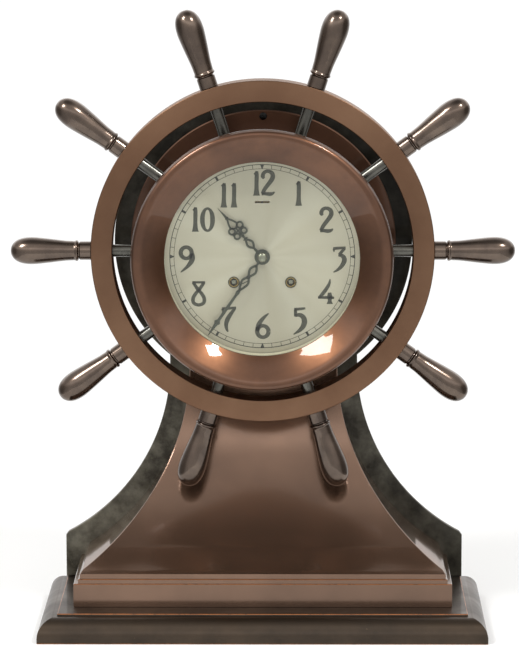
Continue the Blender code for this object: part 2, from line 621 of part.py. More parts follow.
def make_escapement():
    """Pallet fork, balance wheel, its cock and the regulator that reaches the dial's slot."""
    lean = bearing(PALLET_AT, BALANCE_AT)
    fork = [(6.4, -0.9), (6.4, 0.9), (1.6, 1.2), (0.4, 5.2), (-1.6, 5.2), (-1.6, -5.2),
            (0.4, -5.2), (1.6, -1.2)]
    turned_fork = [(x * cos(lean) - z * sin(lean), x * sin(lean) + z * cos(lean))
                   for x, z in ((x * MM, z * MM) for x, z in fork)]
    make_wheel("pallet_fork", PALLET_AT, (-36.4 * MM, FRONT_PLATE[0] + PIVOT_DEPTH),
               [(turned_fork, -35.3, -34.7)], STEEL, 0.9 * MM)

    rim = turned([(7.9 * MM, -38.9 * MM), (9.8 * MM, -38.9 * MM), (9.8 * MM, -37.5 * MM),
                  (7.9 * MM, -37.5 * MM)], 20)
    balance = add_object("balance_wheel", rim, BRASS, on_axis(x=BALANCE_AT[0], z=BALANCE_AT[1]))
    combine(balance, box(-8.6 * MM, 8.6 * MM, -38.5 * MM, -37.9 * MM, -0.9 * MM, 0.9 * MM),
            'UNION')
    combine(balance, rod(0.9 * MM, -40.3 * MM, FRONT_PLATE[0] + PIVOT_DEPTH, 8), 'UNION')

    place = on_axis(x=BALANCE_AT[0], z=BALANCE_AT[1])
    bridge = [(-2.4, -2.6), (2.4, -2.6), (12.6, -4.0), (20.0, -4.0), (20.0, 4.0), (12.6, 4.0),
              (2.4, 2.6), (-2.4, 2.6)]
    cock = add_object("balance_cock", slab([(x * MM, z * MM) for x, z in bridge],
                                           -41.8 * MM, -40.6 * MM), BRASS, place)
    combine(cock, box(13.0 * MM, 20.0 * MM, -41.0 * MM, FRONT_PLATE[0] - GAP, -4.0 * MM,
                      4.0 * MM), 'UNION')

    reach = REGULATOR_SLOT_Z - BALANCE_AT[1]
    lever = add_object("regulator_lever", rod(4.0 * MM, -43.4 * MM, -42.3 * MM, 10),
                       BLUED_STEEL, place)
    combine(lever, box(-0.9 * MM, 0.9 * MM, -43.3 * MM, -42.4 * MM, 0, reach + 0.5 * MM), 'UNION')
    combine(lever, box(-0.8 * MM, 0.8 * MM, -45.7 * MM, -42.9 * MM, reach - 0.45 * MM,
                       reach + 0.45 * MM), 'UNION')


def make_strike():
    """Strike barrel, pin wheel, fly, hammer and bell."""
    arbor = (FRONT_PLATE[1] - PIVOT_DEPTH, BACK_PLATE[0] + PIVOT_DEPTH)
    make_barrel("strike_barrel", STRIKE_BARREL, PIN_AT)
    make_winding_arbor("strike_winding_arbor", STRIKE_BARREL)
    make_wheel("strike_pin_wheel", PIN_AT, arbor, [
        (gear(PIN_WHEEL, PIN_M, bearing(PIN_AT, FLY_AT)), -28.3, -26.8),
        (gear(GREAT_PINION, GREAT_M, bearing(PIN_AT, STRIKE_BARREL), False), -24.4, -20.8)])
    fly = make_wheel("strike_fly", FLY_AT, arbor, [
        (gear(FLY_PINION, PIN_M, bearing(FLY_AT, PIN_AT), False), -28.8, -26.2)])
    combine(fly, box(-8 * MM, 8 * MM, -22 * MM, -8 * MM, -0.5 * MM, 0.5 * MM), 'UNION')

    head = (-47.6 * MM - HAMMER_AT[0], 0.0 - HAMMER_AT[1])
    hammer = add_object("strike_hammer", rod(1.5 * MM, -3.4 * MM, 22 * MM, 8), STEEL,
                        on_axis(x=HAMMER_AT[0], z=HAMMER_AT[1]))
    length = sqrt(head[0] ** 2 + head[1] ** 2)
    arm = box(-1.2 * MM, 1.2 * MM, 18.8 * MM, 21.2 * MM, 0, length)
    bmesh.ops.rotate(arm, verts=arm.verts, cent=(0, 0, 0),
                     matrix=Matrix.Rotation(atan2(head[0], head[1]), 3, 'Y'))
    combine(hammer, arm, 'UNION')
    combine(hammer, rod(4 * MM, 16 * MM, 24 * MM, 8, *head), 'UNION')

    outside = [(2.6, 46.0), (14.0, 45.2), (29.0, 40.2), (38.0, 30.5), (42.0, 18.0)]
    inside = [(39.6, 18.0), (35.8, 29.4), (27.8, 37.6), (14.0, 42.4), (2.6, 43.2)]
    bell = turned([(r * MM, along * MM) for r, along in outside + inside], 20)
    add_object("bell", bell, BELL_METAL, on_axis())
    post = [(0, 40.0), (2.2, 40.0), (2.2, 46.3), (4.0, 46.3), (4.0, 70.1), (0, 70.1)]
    add_object("bell_post", turned([(r * MM, along * MM) for r, along in post], 8), STEEL,
               on_axis())


# ---- Assembly ------------------------------------------------------------------------------------
def main():
    plinth = make_plinth()
    back = make_pedestal_back()
    front = make_pedestal_front()
    for name, x in (("pedestal_bolt_left", -150 * MM), ("pedestal_bolt_right", 150 * MM)):
        make_bolt(name, x, 0)
        for piece in (plinth, front):
            combine(piece, bolt_hole(), 'DIFFERENCE', (x, 0, 0))

    case = make_case()
    for i, (x, z) in enumerate(flange_screw_places()):
        for piece in (case, back):
            hole = rod(2.5 * MM, FLANGE_FRONT - 5 * MM, PLATE_BACK + 5 * MM, 8)
            combine(piece, hole, 'DIFFERENCE', on_axis(x=x, z=z))
        screw = [(0, FLANGE_FRONT - 2.4 * MM), (3.4 * MM, FLANGE_FRONT - 2.2 * MM),
                 (4.3 * MM, FLANGE_FRONT - GAP), (2 * MM, FLANGE_FRONT - GAP),
                 (2 * MM, PLATE_BACK - 1 * MM), (0, PLATE_BACK - 1 * MM)]
        add_object("flange_screw_%d" % (i + 1), turned(screw, 8), BLUED_STEEL,
                   on_axis(x=x, z=z))

    make_rim()
    for i in range(SPOKES):
        make_spoke(i)

    make_bezel()
    make_glass_and_sight_ring()
    make_hinge()
    make_catch()

    make_dial()
    make_grommet("grommet_left", -WINDING_X)
    make_grommet("grommet_right", WINDING_X)
    make_hands()

    make_plates()
    for i, (x, z) in enumerate(pillar_places()):
        add_object("movement_pillar_%d" % (i + 1), rod(4 * MM, DIAL_BACK + GAP, CASE_FLOOR - GAP, 8),
                   BRASS, on_axis(x=x, z=z))
    make_time_train()
    make_motion_work()
    make_escapement()
    make_strike()


main()
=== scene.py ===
from math import acos, cos, pi, radians, sin, sqrt

import bmesh
import bpy
from mathutils import Matrix, Vector


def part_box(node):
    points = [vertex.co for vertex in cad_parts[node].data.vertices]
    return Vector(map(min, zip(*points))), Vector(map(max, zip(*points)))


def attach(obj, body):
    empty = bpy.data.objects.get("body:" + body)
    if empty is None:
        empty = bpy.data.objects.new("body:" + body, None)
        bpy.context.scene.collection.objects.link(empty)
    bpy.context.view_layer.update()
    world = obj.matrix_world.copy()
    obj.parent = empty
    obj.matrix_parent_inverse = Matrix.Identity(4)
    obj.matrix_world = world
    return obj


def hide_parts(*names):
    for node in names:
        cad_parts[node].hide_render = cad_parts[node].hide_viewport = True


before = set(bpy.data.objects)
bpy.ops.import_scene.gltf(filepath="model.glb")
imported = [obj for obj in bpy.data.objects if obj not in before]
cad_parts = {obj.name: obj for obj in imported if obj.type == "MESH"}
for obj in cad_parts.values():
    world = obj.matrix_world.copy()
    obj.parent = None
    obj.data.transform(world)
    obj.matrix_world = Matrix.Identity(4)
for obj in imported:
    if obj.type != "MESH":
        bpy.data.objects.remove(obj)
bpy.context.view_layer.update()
mm = 0.001


# ==== Studio ======================================================================================
# A white table top, seen from a little above and well back with a long lens.  A large soft window
# stands high in front on the left and a small one on the right; the ceiling and the room to the
# sides are dark, the wall in front is pale and brightest just below the height of the clock.


def colour(code):
    """An sRGB hex colour as linear red, green, blue and alpha."""
    channels = [int(code[i:i + 2], 16) / 255 for i in (0, 2, 4)]
    return (*[c / 12.92 if c <= 0.04045 else ((c + 0.055) / 1.055) ** 2.4 for c in channels], 1)


def add_node(tree, kind, settings=None, values=None, links=None):
    """Adds a node: its own settings, values for its inputs, and links into its inputs."""
    made = tree.nodes.new(kind)
    for key, value in (settings or {}).items():
        setattr(made, key, value)
    for key, value in (values or {}).items():
        made.inputs[key].default_value = value
    for key, socket in (links or {}).items():
        tree.links.new(socket, made.inputs[key])
    return made


camera = bpy.data.cameras.new("camera")
camera.sensor_fit = 'HORIZONTAL'
camera.lens = 235.2
camera.clip_end = 200
seen_from = bpy.data.objects.new("camera", camera)
bpy.context.collection.objects.link(seen_from)
seen_from.matrix_world = (Matrix.Translation((38.8 * mm, -3687.4 * mm, 944.3 * mm))
                          @ Matrix.Rotation(0.0115, 4, 'Z')
                          @ Matrix.Rotation(radians(90 - 9.41), 4, 'X')
                          @ Matrix.Rotation(-0.0019, 4, 'Z'))
bpy.context.scene.camera = seen_from
bpy.context.scene.view_settings.view_transform = 'Standard'

TABLE_HALF = (0.62, 1.0, 1)
table = bmesh.new()
bmesh.ops.create_grid(table, x_segments=1, y_segments=1, size=1)
bmesh.ops.scale(table, vec=TABLE_HALF, verts=table.verts)
bmesh.ops.translate(table, vec=(0, -0.2, 0), verts=table.verts)
floor = bpy.data.objects.new("table_top", bpy.data.meshes.new("table_top"))
table.to_mesh(floor.data)
table.free()
bpy.context.collection.objects.link(floor)
paint = bpy.data.materials.new("white_table_paint")
paint.use_nodes = True
paint.node_tree.nodes["Principled BSDF"].inputs["Base Color"].default_value = colour("fdfdfc")
paint.node_tree.nodes["Principled BSDF"].inputs["Roughness"].default_value = 0.8
floor.data.materials.append(paint)

room = bpy.data.worlds.new("room")
bpy.context.scene.world = room
room.use_nodes = True
sky = room.node_tree
sky.nodes.clear()
way = add_node(sky, 'ShaderNodeTexCoord')
split = add_node(sky, 'ShaderNodeSeparateXYZ', links={0: way.outputs['Generated']})
height = add_node(sky, 'ShaderNodeValToRGB', links={0: split.outputs['Z']})
steps = height.color_ramp.elements
steps[0].position, steps[0].color = 0.0, (0.90, 0.89, 0.88, 1)
steps[1].position, steps[1].color = 1.0, (0.28, 0.27, 0.265, 1)
for position, level in ((0.10, 0.95), (0.26, 1.2), (0.36, 2.0), (0.46, 2.0), (0.56, 1.25),
                        (0.70, 1.1), (0.86, 1.0), (0.92, 0.55), (0.96, 0.38)):
    made = steps.new(position)
    made.color = (level, level * 0.97, level * 0.95, 1)
aside = add_node(sky, 'ShaderNodeMapRange', values={1: -1, 2: 1}, links={0: split.outputs['X']})
sides = add_node(sky, 'ShaderNodeValToRGB', links={0: aside.outputs[0]})
steps = sides.color_ramp.elements
steps[0].position, steps[0].color = 0.035, (0.36, 0.35, 0.34, 1)
steps[1].position, steps[1].color = 0.965, (0.26, 0.25, 0.24, 1)
for position, level in ((0.10, 0.75), (0.24, 1.0), (0.76, 1.0), (0.90, 0.75)):
    steps.new(position).color = (level, level, level, 1)
levels = add_node(sky, 'ShaderNodeMixRGB', {'blend_type': 'MULTIPLY'}, {0: 1.0},
                  {1: height.outputs[0], 2: sides.outputs[0]})
ray = add_node(sky, 'ShaderNodeLightPath')
lit = add_node(sky, 'ShaderNodeMixRGB', values={1: (0.76, 0.755, 0.75, 1)},
               links={0: ray.outputs['Is Glossy Ray'], 2: levels.outputs[0]})
seen = add_node(sky, 'ShaderNodeMixRGB', values={2: (1.06, 1.06, 1.06, 1)},
                links={0: ray.outputs['Is Camera Ray'], 1: lit.outputs[0]})
glow = add_node(sky, 'ShaderNodeBackground', links={0: seen.outputs[0]})
add_node(sky, 'ShaderNodeOutputWorld', links={0: glow.outputs[0]})

LIT_POINT = Vector((0, 0, 0.42))
WINDOW_DISTANCE = 3.0
for name, towards, width, tall, power in (
        ("window_left", Vector((-0.545, -0.461, 0.695)), 0.70, 0.95, 46),
        ("window_right", Vector((0.465, -0.478, 0.74)), 0.44, 0.40, 36)):
    light = bpy.data.lights.new(name, 'AREA')
    light.shape = 'RECTANGLE'
    light.size, light.size_y = width, tall
    light.energy = power
    stand = bpy.data.objects.new(name, light)
    bpy.context.collection.objects.link(stand)
    stand.location = LIT_POINT + towards.normalized() * WINDOW_DISTANCE
    stand.rotation_euler = towards.to_track_quat('Z', 'Y').to_euler()

# ==== Plinth ======================================================================================
# Hollow bronze casting with a quarter-round moulding under a low raised panel.  It was patinated
# nearly black; handling has brought the metal through along its edges.
AXIS = Vector((0, 7.3 * mm, 415 * mm))


def aged_bronze(name, bright, dull, spot, smooth, rough, cloud, fleck, amount, coat=0.25,
                relief=0.02, metal=1.0, lacquer=0.08, lathe=0.0):
    """Patinated bronze.  cloud and fleck are the sizes in metres of its tone changes and of its
    specks, amount is how much of it the specks cover; lathe is how strongly the turning marks
    round the clock's axis spread its shine."""
    made = bpy.data.materials.new(name)
    made.use_nodes = True
    tree = made.node_tree
    shader = tree.nodes["Principled BSDF"]
    place = add_node(tree, 'ShaderNodeTexCoord').outputs['Object']
    clouds = add_node(tree, 'ShaderNodeTexNoise',
                      values={'Scale': 1 / cloud, 'Detail': 5, 'Roughness': 0.62},
                      links={'Vector': place})
    tone = add_node(tree, 'ShaderNodeMapRange', values={1: 0.36, 2: 0.66},
                    links={0: clouds.outputs[0]})
    base = add_node(tree, 'ShaderNodeMixRGB', values={1: colour(bright), 2: colour(dull)},
                    links={0: tone.outputs[0]})
    specks = add_node(tree, 'ShaderNodeTexNoise',
                      values={'Scale': 1 / fleck, 'Detail': 3, 'Roughness': 0.7},
                      links={'Vector': place})
    where = add_node(tree, 'ShaderNodeMapRange',
                     values={1: 0.74 - amount, 2: 0.82 - amount, 4: 0.75},
                     links={0: specks.outputs[0]})
    surface = add_node(tree, 'ShaderNodeMixRGB', values={2: colour(spot)},
                       links={0: where.outputs[0], 1: base.outputs[0]})
    wear = add_node(tree, 'ShaderNodeMapRange', values={1: 0.3, 2: 0.7, 3: smooth, 4: rough},
                    links={0: clouds.outputs[0]})
    grain = add_node(tree, 'ShaderNodeTexNoise', values={'Scale': 900, 'Detail': 3},
                     links={'Vector': place})
    raised = add_node(tree, 'ShaderNodeBump', values={'Strength': relief * 5, 'Distance': 0.0002},
                      links={'Height': grain.outputs[0]})
    for key, socket in (('Base Color', surface.outputs[0]), ('Roughness', wear.outputs[0]),
                        ('Normal', raised.outputs[0])):
        tree.links.new(socket, shader.inputs[key])
    shader.inputs['Metallic'].default_value = metal
    shader.inputs['Coat Weight'].default_value = coat
    shader.inputs['Coat Roughness'].default_value = lacquer
    if lathe:
        marks = add_node(tree, 'ShaderNodeTangent', {'direction_type': 'RADIAL', 'axis': 'Y'})
        tree.links.new(marks.outputs[0], shader.inputs['Tangent'])
        shader.inputs['Anisotropic'].default_value = lathe
        shader.inputs['Anisotropic Rotation'].default_value = 0.25
    return made


def finished(name, bm, finishes, body, nodes, sharp=35):
    """Makes the object, gives it its finishes and its body, and hides the nodes that it stands for.
    Edges that turn by more than sharp, in degrees, stay crisp."""
    mesh = bpy.data.meshes.new(name)
    bm.to_mesh(mesh)
    bm.free()
    for finish in finishes:
        mesh.materials.append(finish)
    mesh.shade_smooth()
    mesh.set_sharp_from_angle(angle=radians(sharp))
    made = bpy.data.objects.new(name, mesh)
    bpy.context.collection.objects.link(made)
    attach(made, body)
    if nodes:
        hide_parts(*nodes)
    return made


def cut(piece, bm, sharp=15):
    """Takes a shape out of a piece for good."""
    mesh = bpy.data.meshes.new("cutter")
    bm.to_mesh(mesh)
    bm.free()
    cutter = bpy.data.objects.new("cutter", mesh)
    bpy.context.collection.objects.link(cutter)
    step = piece.modifiers.new("cut", 'BOOLEAN')
    step.operation, step.solver, step.object = 'DIFFERENCE', 'EXACT', cutter
    bpy.context.view_layer.update()
    old = piece.data
    new = bpy.data.meshes.new_from_object(
        piece.evaluated_get(bpy.context.evaluated_depsgraph_get()))
    piece.modifiers.clear()
    piece.data = new
    new.name = piece.name
    bpy.data.meshes.remove(old)
    bpy.data.objects.remove(cutter)
    new.set_sharp_from_angle(angle=radians(sharp))


def drill(radius, start, end, sides=32):
    """A round cutter or bar between two points."""
    bm = bmesh.new()
    run = end - start
    bmesh.ops.create_cone(bm, cap_ends=True, segments=sides, radius1=radius, radius2=radius,
                          depth=run.length)
    turn = run.to_track_quat('Z', 'Y').to_matrix().to_4x4()
    bmesh.ops.transform(bm, matrix=Matrix.Translation((start + end) / 2) @ turn, verts=bm.verts)
    return bm


plinth_bronze = aged_bronze("plinth_dark_bronze", "41362b", "302820", "6f604c", 0.32, 0.50,
                            0.050, 0.0032, 0.045, coat=0.2, metal=0.85)
worn_bronze = aged_bronze("edge_worn_bronze", "a0673f", "7d5137", "5a4030", 0.28, 0.45,
                          0.020, 0.003, 0.2)


def raise_face(bm, face, inset, lift):
    """Draws a rectangular face up by lift and in by inset on all four sides."""
    grown = bmesh.ops.extrude_face_region(bm, geom=[face])['geom']
    bmesh.ops.delete(bm, geom=[face], context='FACES_ONLY')
    top = next(item for item in grown if isinstance(item, bmesh.types.BMFace))
    for vert in top.verts:
        vert.co.x -= inset if vert.co.x > 0 else -inset
        vert.co.y -= inset if vert.co.y > 0 else -inset
        vert.co.z += lift
    return top


def plinth_casting():
    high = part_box("plinth")[1]
    upstand, moulding, moulding_height, wall = 5.6 * mm, 21.1 * mm, 21.0 * mm, 6 * mm
    bm = bmesh.new()
    bmesh.ops.create_grid(bm, x_segments=1, y_segments=1, size=1)
    bmesh.ops.scale(bm, vec=(high.x, high.y, 1), verts=bm.verts)
    foot = next(iter(bm.faces))
    foot.copy()
    top = raise_face(bm, foot, 0, upstand)
    steps = 14
    for i in range(steps):
        a, b = (pi / 2 * (i + k) / steps for k in (0, 1))
        top = raise_face(bm, top, moulding * (cos(a) - cos(b)),
                         moulding_height * (sin(b) - sin(a)))
    raise_face(bm, top, 0.15 * mm, high.z - upstand - moulding_height)
    bmesh.ops.remove_doubles(bm, verts=bm.verts, dist=1e-7)
    bmesh.ops.recalc_face_normals(bm, faces=bm.faces)
    under = min(bm.faces, key=lambda f: f.calc_center_median().z)
    bmesh.ops.inset_region(bm, faces=[under], thickness=moulding + wall, use_even_offset=True)
    grown = bmesh.ops.extrude_face_region(bm, geom=[under])['geom']
    bmesh.ops.delete(bm, geom=[under], context='FACES_ONLY')
    bmesh.ops.translate(bm, vec=(0, 0, high.z - wall),
                        verts=[v for v in grown if isinstance(v, bmesh.types.BMVert)])
    bmesh.ops.recalc_face_normals(bm, faces=bm.faces)
    rim = [e for e in bm.edges if all(v.co.z > high.z - 1e-6 for v in e.verts)]
    rim += [e for e in bm.edges if all(v.co.z < 1e-6 and abs(v.co.x) > high.x - 1e-6 or
                                       v.co.z < 1e-6 and abs(v.co.y) > high.y - 1e-6
                                       for v in e.verts)]
    for edge in rim:
        edge.smooth = False
    rounded = bmesh.ops.bevel(bm, geom=rim, offset=0.9 * mm, offset_type='OFFSET', segments=2,
                              profile=0.5, affect='EDGES', material=-1)
    for face in rounded['faces']:
        face.material_index = 1
    return finished("plinth_casting", bm, [plinth_bronze, worn_bronze], "stand_and_case",
                    ["plinth"], sharp=15)


plinth = plinth_casting()
for bolt_x in (-150 * mm, 150 * mm):
    cut(plinth, drill(4.4 * mm, Vector((bolt_x, 0, 10 * mm)), Vector((bolt_x, 0, 40 * mm))))

# ==== Felt and bolts ==============================================================================
# A sheet of green wool felt inside the foot of the plinth, and the two steel bolts that pull the
# pedestal down onto it.


def plain_finish(name, light, dark, smooth, rough, metal, grain, relief):
    """A finish without patina; grain is the size in metres of its marks."""
    made = bpy.data.materials.new(name)
    made.use_nodes = True
    tree = made.node_tree
    shader = tree.nodes["Principled BSDF"]
    place = add_node(tree, 'ShaderNodeTexCoord').outputs['Object']
    marks = add_node(tree, 'ShaderNodeTexNoise',
                     values={'Scale': 1 / grain, 'Detail': 4, 'Roughness': 0.6},
                     links={'Vector': place})
    base = add_node(tree, 'ShaderNodeMixRGB', values={1: colour(light), 2: colour(dark)},
                    links={0: marks.outputs[0]})
    wear = add_node(tree, 'ShaderNodeMapRange', values={1: 0.3, 2: 0.7, 3: smooth, 4: rough},
                    links={0: marks.outputs[0]})
    raised = add_node(tree, 'ShaderNodeBump', values={'Strength': relief, 'Distance': grain / 8},
                      links={'Height': marks.outputs[0]})
    for key, socket in (('Base Color', base.outputs[0]), ('Roughness', wear.outputs[0]),
                        ('Normal', raised.outputs[0])):
        tree.links.new(socket, shader.inputs[key])
    shader.inputs['Metallic'].default_value = metal
    return made


def refinish(finish, *names):
    """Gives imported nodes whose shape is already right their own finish."""
    for name in names:
        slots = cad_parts[name].data.materials
        slots.clear()
        slots.append(finish)


wool_felt = plain_finish("green_wool_felt", "2f4638", "1d2c22", 0.9, 1.0, 0, 0.0012, 0.8)
turned_steel = plain_finish("turned_steel", "a3a5a6", "86888a", 0.22, 0.38, 1, 0.004, 0.05)
refinish(wool_felt, "base_felt")
refinish(turned_steel, "pedestal_bolt_left", "pedestal_bolt_right")

# ==== Pedestal, back casting ======================================================================
# Flat plate with a flared foot, an upright neck and a round head that the case is screwed to.
# Left with a dull green-brown verdigris that was never polished.
PLATE = (82.0 * mm, 90.0 * mm)  # depths of its front and back
FLARE = Vector((326.7 * mm, 0, 276.1 * mm))  # middle of the arc of its right side
plate_bronze = aged_bronze("verdigris_bronze", "5f5c52", "37342d", "4c4a3e", 0.32, 0.54,
                           0.024, 0.0040, 0.14, coat=0.1, relief=0.05, metal=0.92)

# The head of the plate, behind the case, is made the darkest part of it: partly a darker patina,
# partly painted shade of the case over it.  Its colour is also made paler towards the left foot and
# darker towards the right.
tree = plate_bronze.node_tree
shader = tree.nodes["Principled BSDF"]
place = add_node(tree, 'ShaderNodeTexCoord').outputs['Object']
parts = add_node(tree, 'ShaderNodeSeparateXYZ', links={0: place})
# Darker upwards into the head: a darker patina there, with painted shade of the case on top of it.
head_patina_and_painted_shade = add_node(tree, 'ShaderNodeMapRange', values={1: 0.27, 2: 0.37, 3: 1.0, 4: 0.34},
                  links={0: parts.outputs['Z']})
across = add_node(tree, 'ShaderNodeMapRange', values={1: -0.2, 2: 0.2, 3: 1.35, 4: 0.52},
                  links={0: parts.outputs['X']})
painted_shade_and_tone = add_node(tree, 'ShaderNodeMath', {'operation': 'MULTIPLY'},
                links={0: head_patina_and_painted_shade.outputs[0], 1: across.outputs[0]})
shaded = add_node(tree, 'ShaderNodeMixRGB', {'blend_type': 'MULTIPLY'}, {0: 1.0},
                  {1: shader.inputs['Base Color'].links[0].from_socket, 2: painted_shade_and_tone.outputs[0]})
tree.links.new(shaded.outputs[0], shader.inputs['Base Color'])


def swing(bm, vert, centre, angle, steps):
    """Draws an arc of edges on from a point, seen from the front; positive is clockwise."""
    made = bmesh.ops.spin(bm, geom=[vert], cent=centre, axis=(0, 1, 0), angle=angle, steps=steps)
    return next(item for item in made['geom_last'] if isinstance(item, bmesh.types.BMVert))


def plate_casting():
    low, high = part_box("pedestal_back")
    foot, half = low.z, high.x
    neck, flare_r, head_r = 105.6 * mm, 221.1 * mm, 167.0 * mm
    low_turn = acos((FLARE.x - half) / flare_r)
    bm = bmesh.new()
    start = bm.verts.new((0, PLATE[0], foot))
    corner = bm.verts.new((half, PLATE[0], foot))
    shoulder = bm.verts.new((half, PLATE[0], FLARE.z - sin(low_turn) * flare_r - 2.5 * mm))
    turn_in = low_turn - radians(0.9)
    begin = bm.verts.new((FLARE.x - cos(turn_in) * flare_r, PLATE[0],
                          FLARE.z - sin(turn_in) * flare_r))
    for pair in ((start, corner), (corner, shoulder), (shoulder, begin)):
        bm.edges.new(pair)
    centre = Vector((FLARE.x, PLATE[0], FLARE.z))
    last = swing(bm, begin, centre, turn_in, 40)
    head_turn = acos(-sqrt(head_r ** 2 - neck ** 2) / head_r)
    onto = bm.verts.new((neck, PLATE[0], AXIS.z + cos(head_turn) * head_r))
    bm.edges.new((last, onto))
    swing(bm, onto, Vector((0, PLATE[0], AXIS.z)), -head_turn, 72)
    bmesh.ops.mirror(bm, geom=bm.verts[:] + bm.edges[:], axis='X', merge_dist=1e-5)
    bmesh.ops.remove_doubles(bm, verts=bm.verts, dist=1e-6)
    front = bmesh.ops.contextual_create(bm, geom=bm.edges[:])['faces'][0]
    grown = bmesh.ops.extrude_face_region(bm, geom=[front])['geom']
    bmesh.ops.translate(bm, vec=(0, PLATE[1] - PLATE[0], 0),
                        verts=[v for v in grown if isinstance(v, bmesh.types.BMVert)])
    bmesh.ops.recalc_face_normals(bm, faces=bm.faces)
    rim = [e for e in bm.edges if abs(e.verts[0].co.y - e.verts[1].co.y) < 1e-6]
    bmesh.ops.bevel(bm, geom=rim, offset=0.9 * mm, offset_type='OFFSET', segments=2, profile=0.5,
                    affect='EDGES', material=-1)
    return finished("pedestal_back_casting", bm, [plate_bronze], "stand_and_case",
                    ["pedestal_back"], sharp=15)


back_plate = plate_casting()
SCREW_CIRCLE = 141.4 * mm
SCREWS = [Vector((SCREW_CIRCLE * sin(a), 0, SCREW_CIRCLE * cos(a))) + AXIS
          for a in (0, radians(120), radians(240))]


def drill_for_screws(piece):
    """Three clearance holes from front to back, through the flange or through the plate."""
    for at in SCREWS:
        cut(piece, drill(2.5 * mm, at + Vector((0, 50 * mm, 0)), at + Vector((0, 99 * mm, 0)), 16))


drill_for_screws(back_plate)

# ==== Pedestal, front casting =====================================================================
# Hollow bronze body: a plain block, two fillets and a panel that sweeps up and back to the case.
# Polished, toned red-brown and lacquered, with the fillets rubbed through to orange.
panel_bronze = aged_bronze("lacquered_brown_bronze", "755b4a", "664f40", "4e372a", 0.14, 0.21,
                           0.110, 0.0030, 0.03, coat=0.4, relief=0.008, metal=0.8)


def body_casting():
    low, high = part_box("pedestal_front")
    back = high.y
    sweep_top, sweep_low = 59.3 * mm, -58.7 * mm
    foot, top, side_r = 65.5 * mm, FLARE.z, 243.6 * mm
    sweep_r = ((sweep_top - sweep_low) ** 2 + (top - foot) ** 2) / (2 * (sweep_top - sweep_low))
    fillet, body_half = (203.0 * mm, -60.5 * mm), 201.0 * mm
    levels = [(high.x, low.y, 54.3 * mm), (high.x - 0.8 * mm, low.y + 0.8 * mm, 55.1 * mm),
              (*fillet, 55.1 * mm), (*fillet, 59.2 * mm),
              (fillet[0] - 0.7 * mm, fillet[1] + 0.7 * mm, 59.9 * mm),
              (body_half, sweep_low, 60.2 * mm), (body_half, sweep_low, 64.9 * mm)]
    steps = 56
    for i in range(steps + 1):
        z = foot + (top - foot) * i / steps
        side = FLARE.x - sqrt(side_r ** 2 - (top - z) ** 2)
        sweep = sweep_top - sweep_r + sqrt(sweep_r ** 2 - (top - z) ** 2)
        levels.append((min(side, body_half), sweep, z))
    levels.append((levels[-1][0], levels[-1][1], high.z))
    bm = bmesh.new()
    bmesh.ops.create_grid(bm, x_segments=1, y_segments=1, size=1)
    face = next(iter(bm.faces))
    for vert in face.verts:
        vert.co = (high.x if vert.co.x > 0 else -high.x, back if vert.co.y > 0 else low.y, low.z)
    for half, front, z in levels:
        grown = bmesh.ops.extrude_face_region(bm, geom=[face])['geom']
        if abs(face.calc_center_median().z - low.z) > 1e-6:
            bmesh.ops.delete(bm, geom=[face], context='FACES_ONLY')
        face = next(item for item in grown if isinstance(item, bmesh.types.BMFace))
        for vert in face.verts:
            vert.co = (half if vert.co.x > 0 else -half,
                       front if vert.co.y < back - 1e-6 else back, z)
    bmesh.ops.recalc_face_normals(bm, faces=bm.faces)
    sides = [e for e in bm.edges if all(v.co.y < back - 1e-6 for v in e.verts)
             and abs(e.verts[0].co.x - e.verts[1].co.x) < 30 * mm
             and abs(e.verts[0].co.z - e.verts[1].co.z) > 0.2 * mm
             and min(v.co.z for v in e.verts) > 64.0 * mm]
    bmesh.ops.bevel(bm, geom=sides, offset=1.2 * mm, offset_type='OFFSET', segments=2,
                    profile=0.5, affect='EDGES', material=-1)
    for one in bm.faces:
        middle = one.calc_center_median()
        edge = one.normal.y < -0.3 and one.normal.z > 0.3 and middle.z < 60.3 * mm
        one.material_index = 1 if edge and one.calc_area() < 0.0006 else 0
    return finished("pedestal_front_casting", bm, [panel_bronze, worn_bronze], "stand_and_case",
                    ["pedestal_front"], sharp=15)


body_front = body_casting()


def seat_shape():
    """The round recess that the case and its flange sit in."""
    bm = bmesh.new()
    profile = [(0, -95), (125.3, -95), (125.3, 67.4), (148.6, 67.4), (148.6, 95), (0, 95)]
    verts = [bm.verts.new((r * mm, AXIS.y + y * mm, AXIS.z)) for r, y in profile]
    edges = [bm.edges.new(pair) for pair in zip(verts, verts[1:])]
    bmesh.ops.spin(bm, geom=verts + edges, cent=AXIS, axis=(0, 1, 0), angle=2 * pi, steps=144,
                   use_merge=True)
    bmesh.ops.remove_doubles(bm, verts=bm.verts, dist=1e-6)
    bmesh.ops.recalc_face_normals(bm, faces=bm.faces)
    return bm


cut(body_front, seat_shape())

# ==== Case and its screws =========================================================================
# Deep drum with a turned flange at the back, screwed through the flange to the pedestal's head.
# Turned and polished brown bronze; its screws are blackened steel.
case_bronze = aged_bronze("turned_brown_bronze", "644839", "543c2f", "40291b", 0.26, 0.36,
                          0.080, 0.003, 0.03, coat=0.3, relief=0.012, lathe=0.4)
black_steel = plain_finish("blackened_steel", "353636", "232424", 0.28, 0.45, 1, 0.003, 0.06)


def turned(profile, steps, at=AXIS):
    """A profile of radius and depth in millimetres, spun about the clock's axis through a point.
    A profile that starts away from the axis is closed on itself."""
    bm = bmesh.new()
    verts = [bm.verts.new((at.x + r * mm, at.y + y * mm, at.z)) for r, y in profile]
    edges = [bm.edges.new(pair) for pair in zip(verts, verts[1:])]
    if profile[0][0] > 0:
        edges.append(bm.edges.new((verts[-1], verts[0])))
    bmesh.ops.spin(bm, geom=verts + edges, cent=at, axis=(0, 1, 0), angle=2 * pi, steps=steps,
                   use_merge=True)
    bmesh.ops.remove_doubles(bm, verts=bm.verts, dist=1e-6)
    bmesh.ops.recalc_face_normals(bm, faces=bm.faces)
    return bm


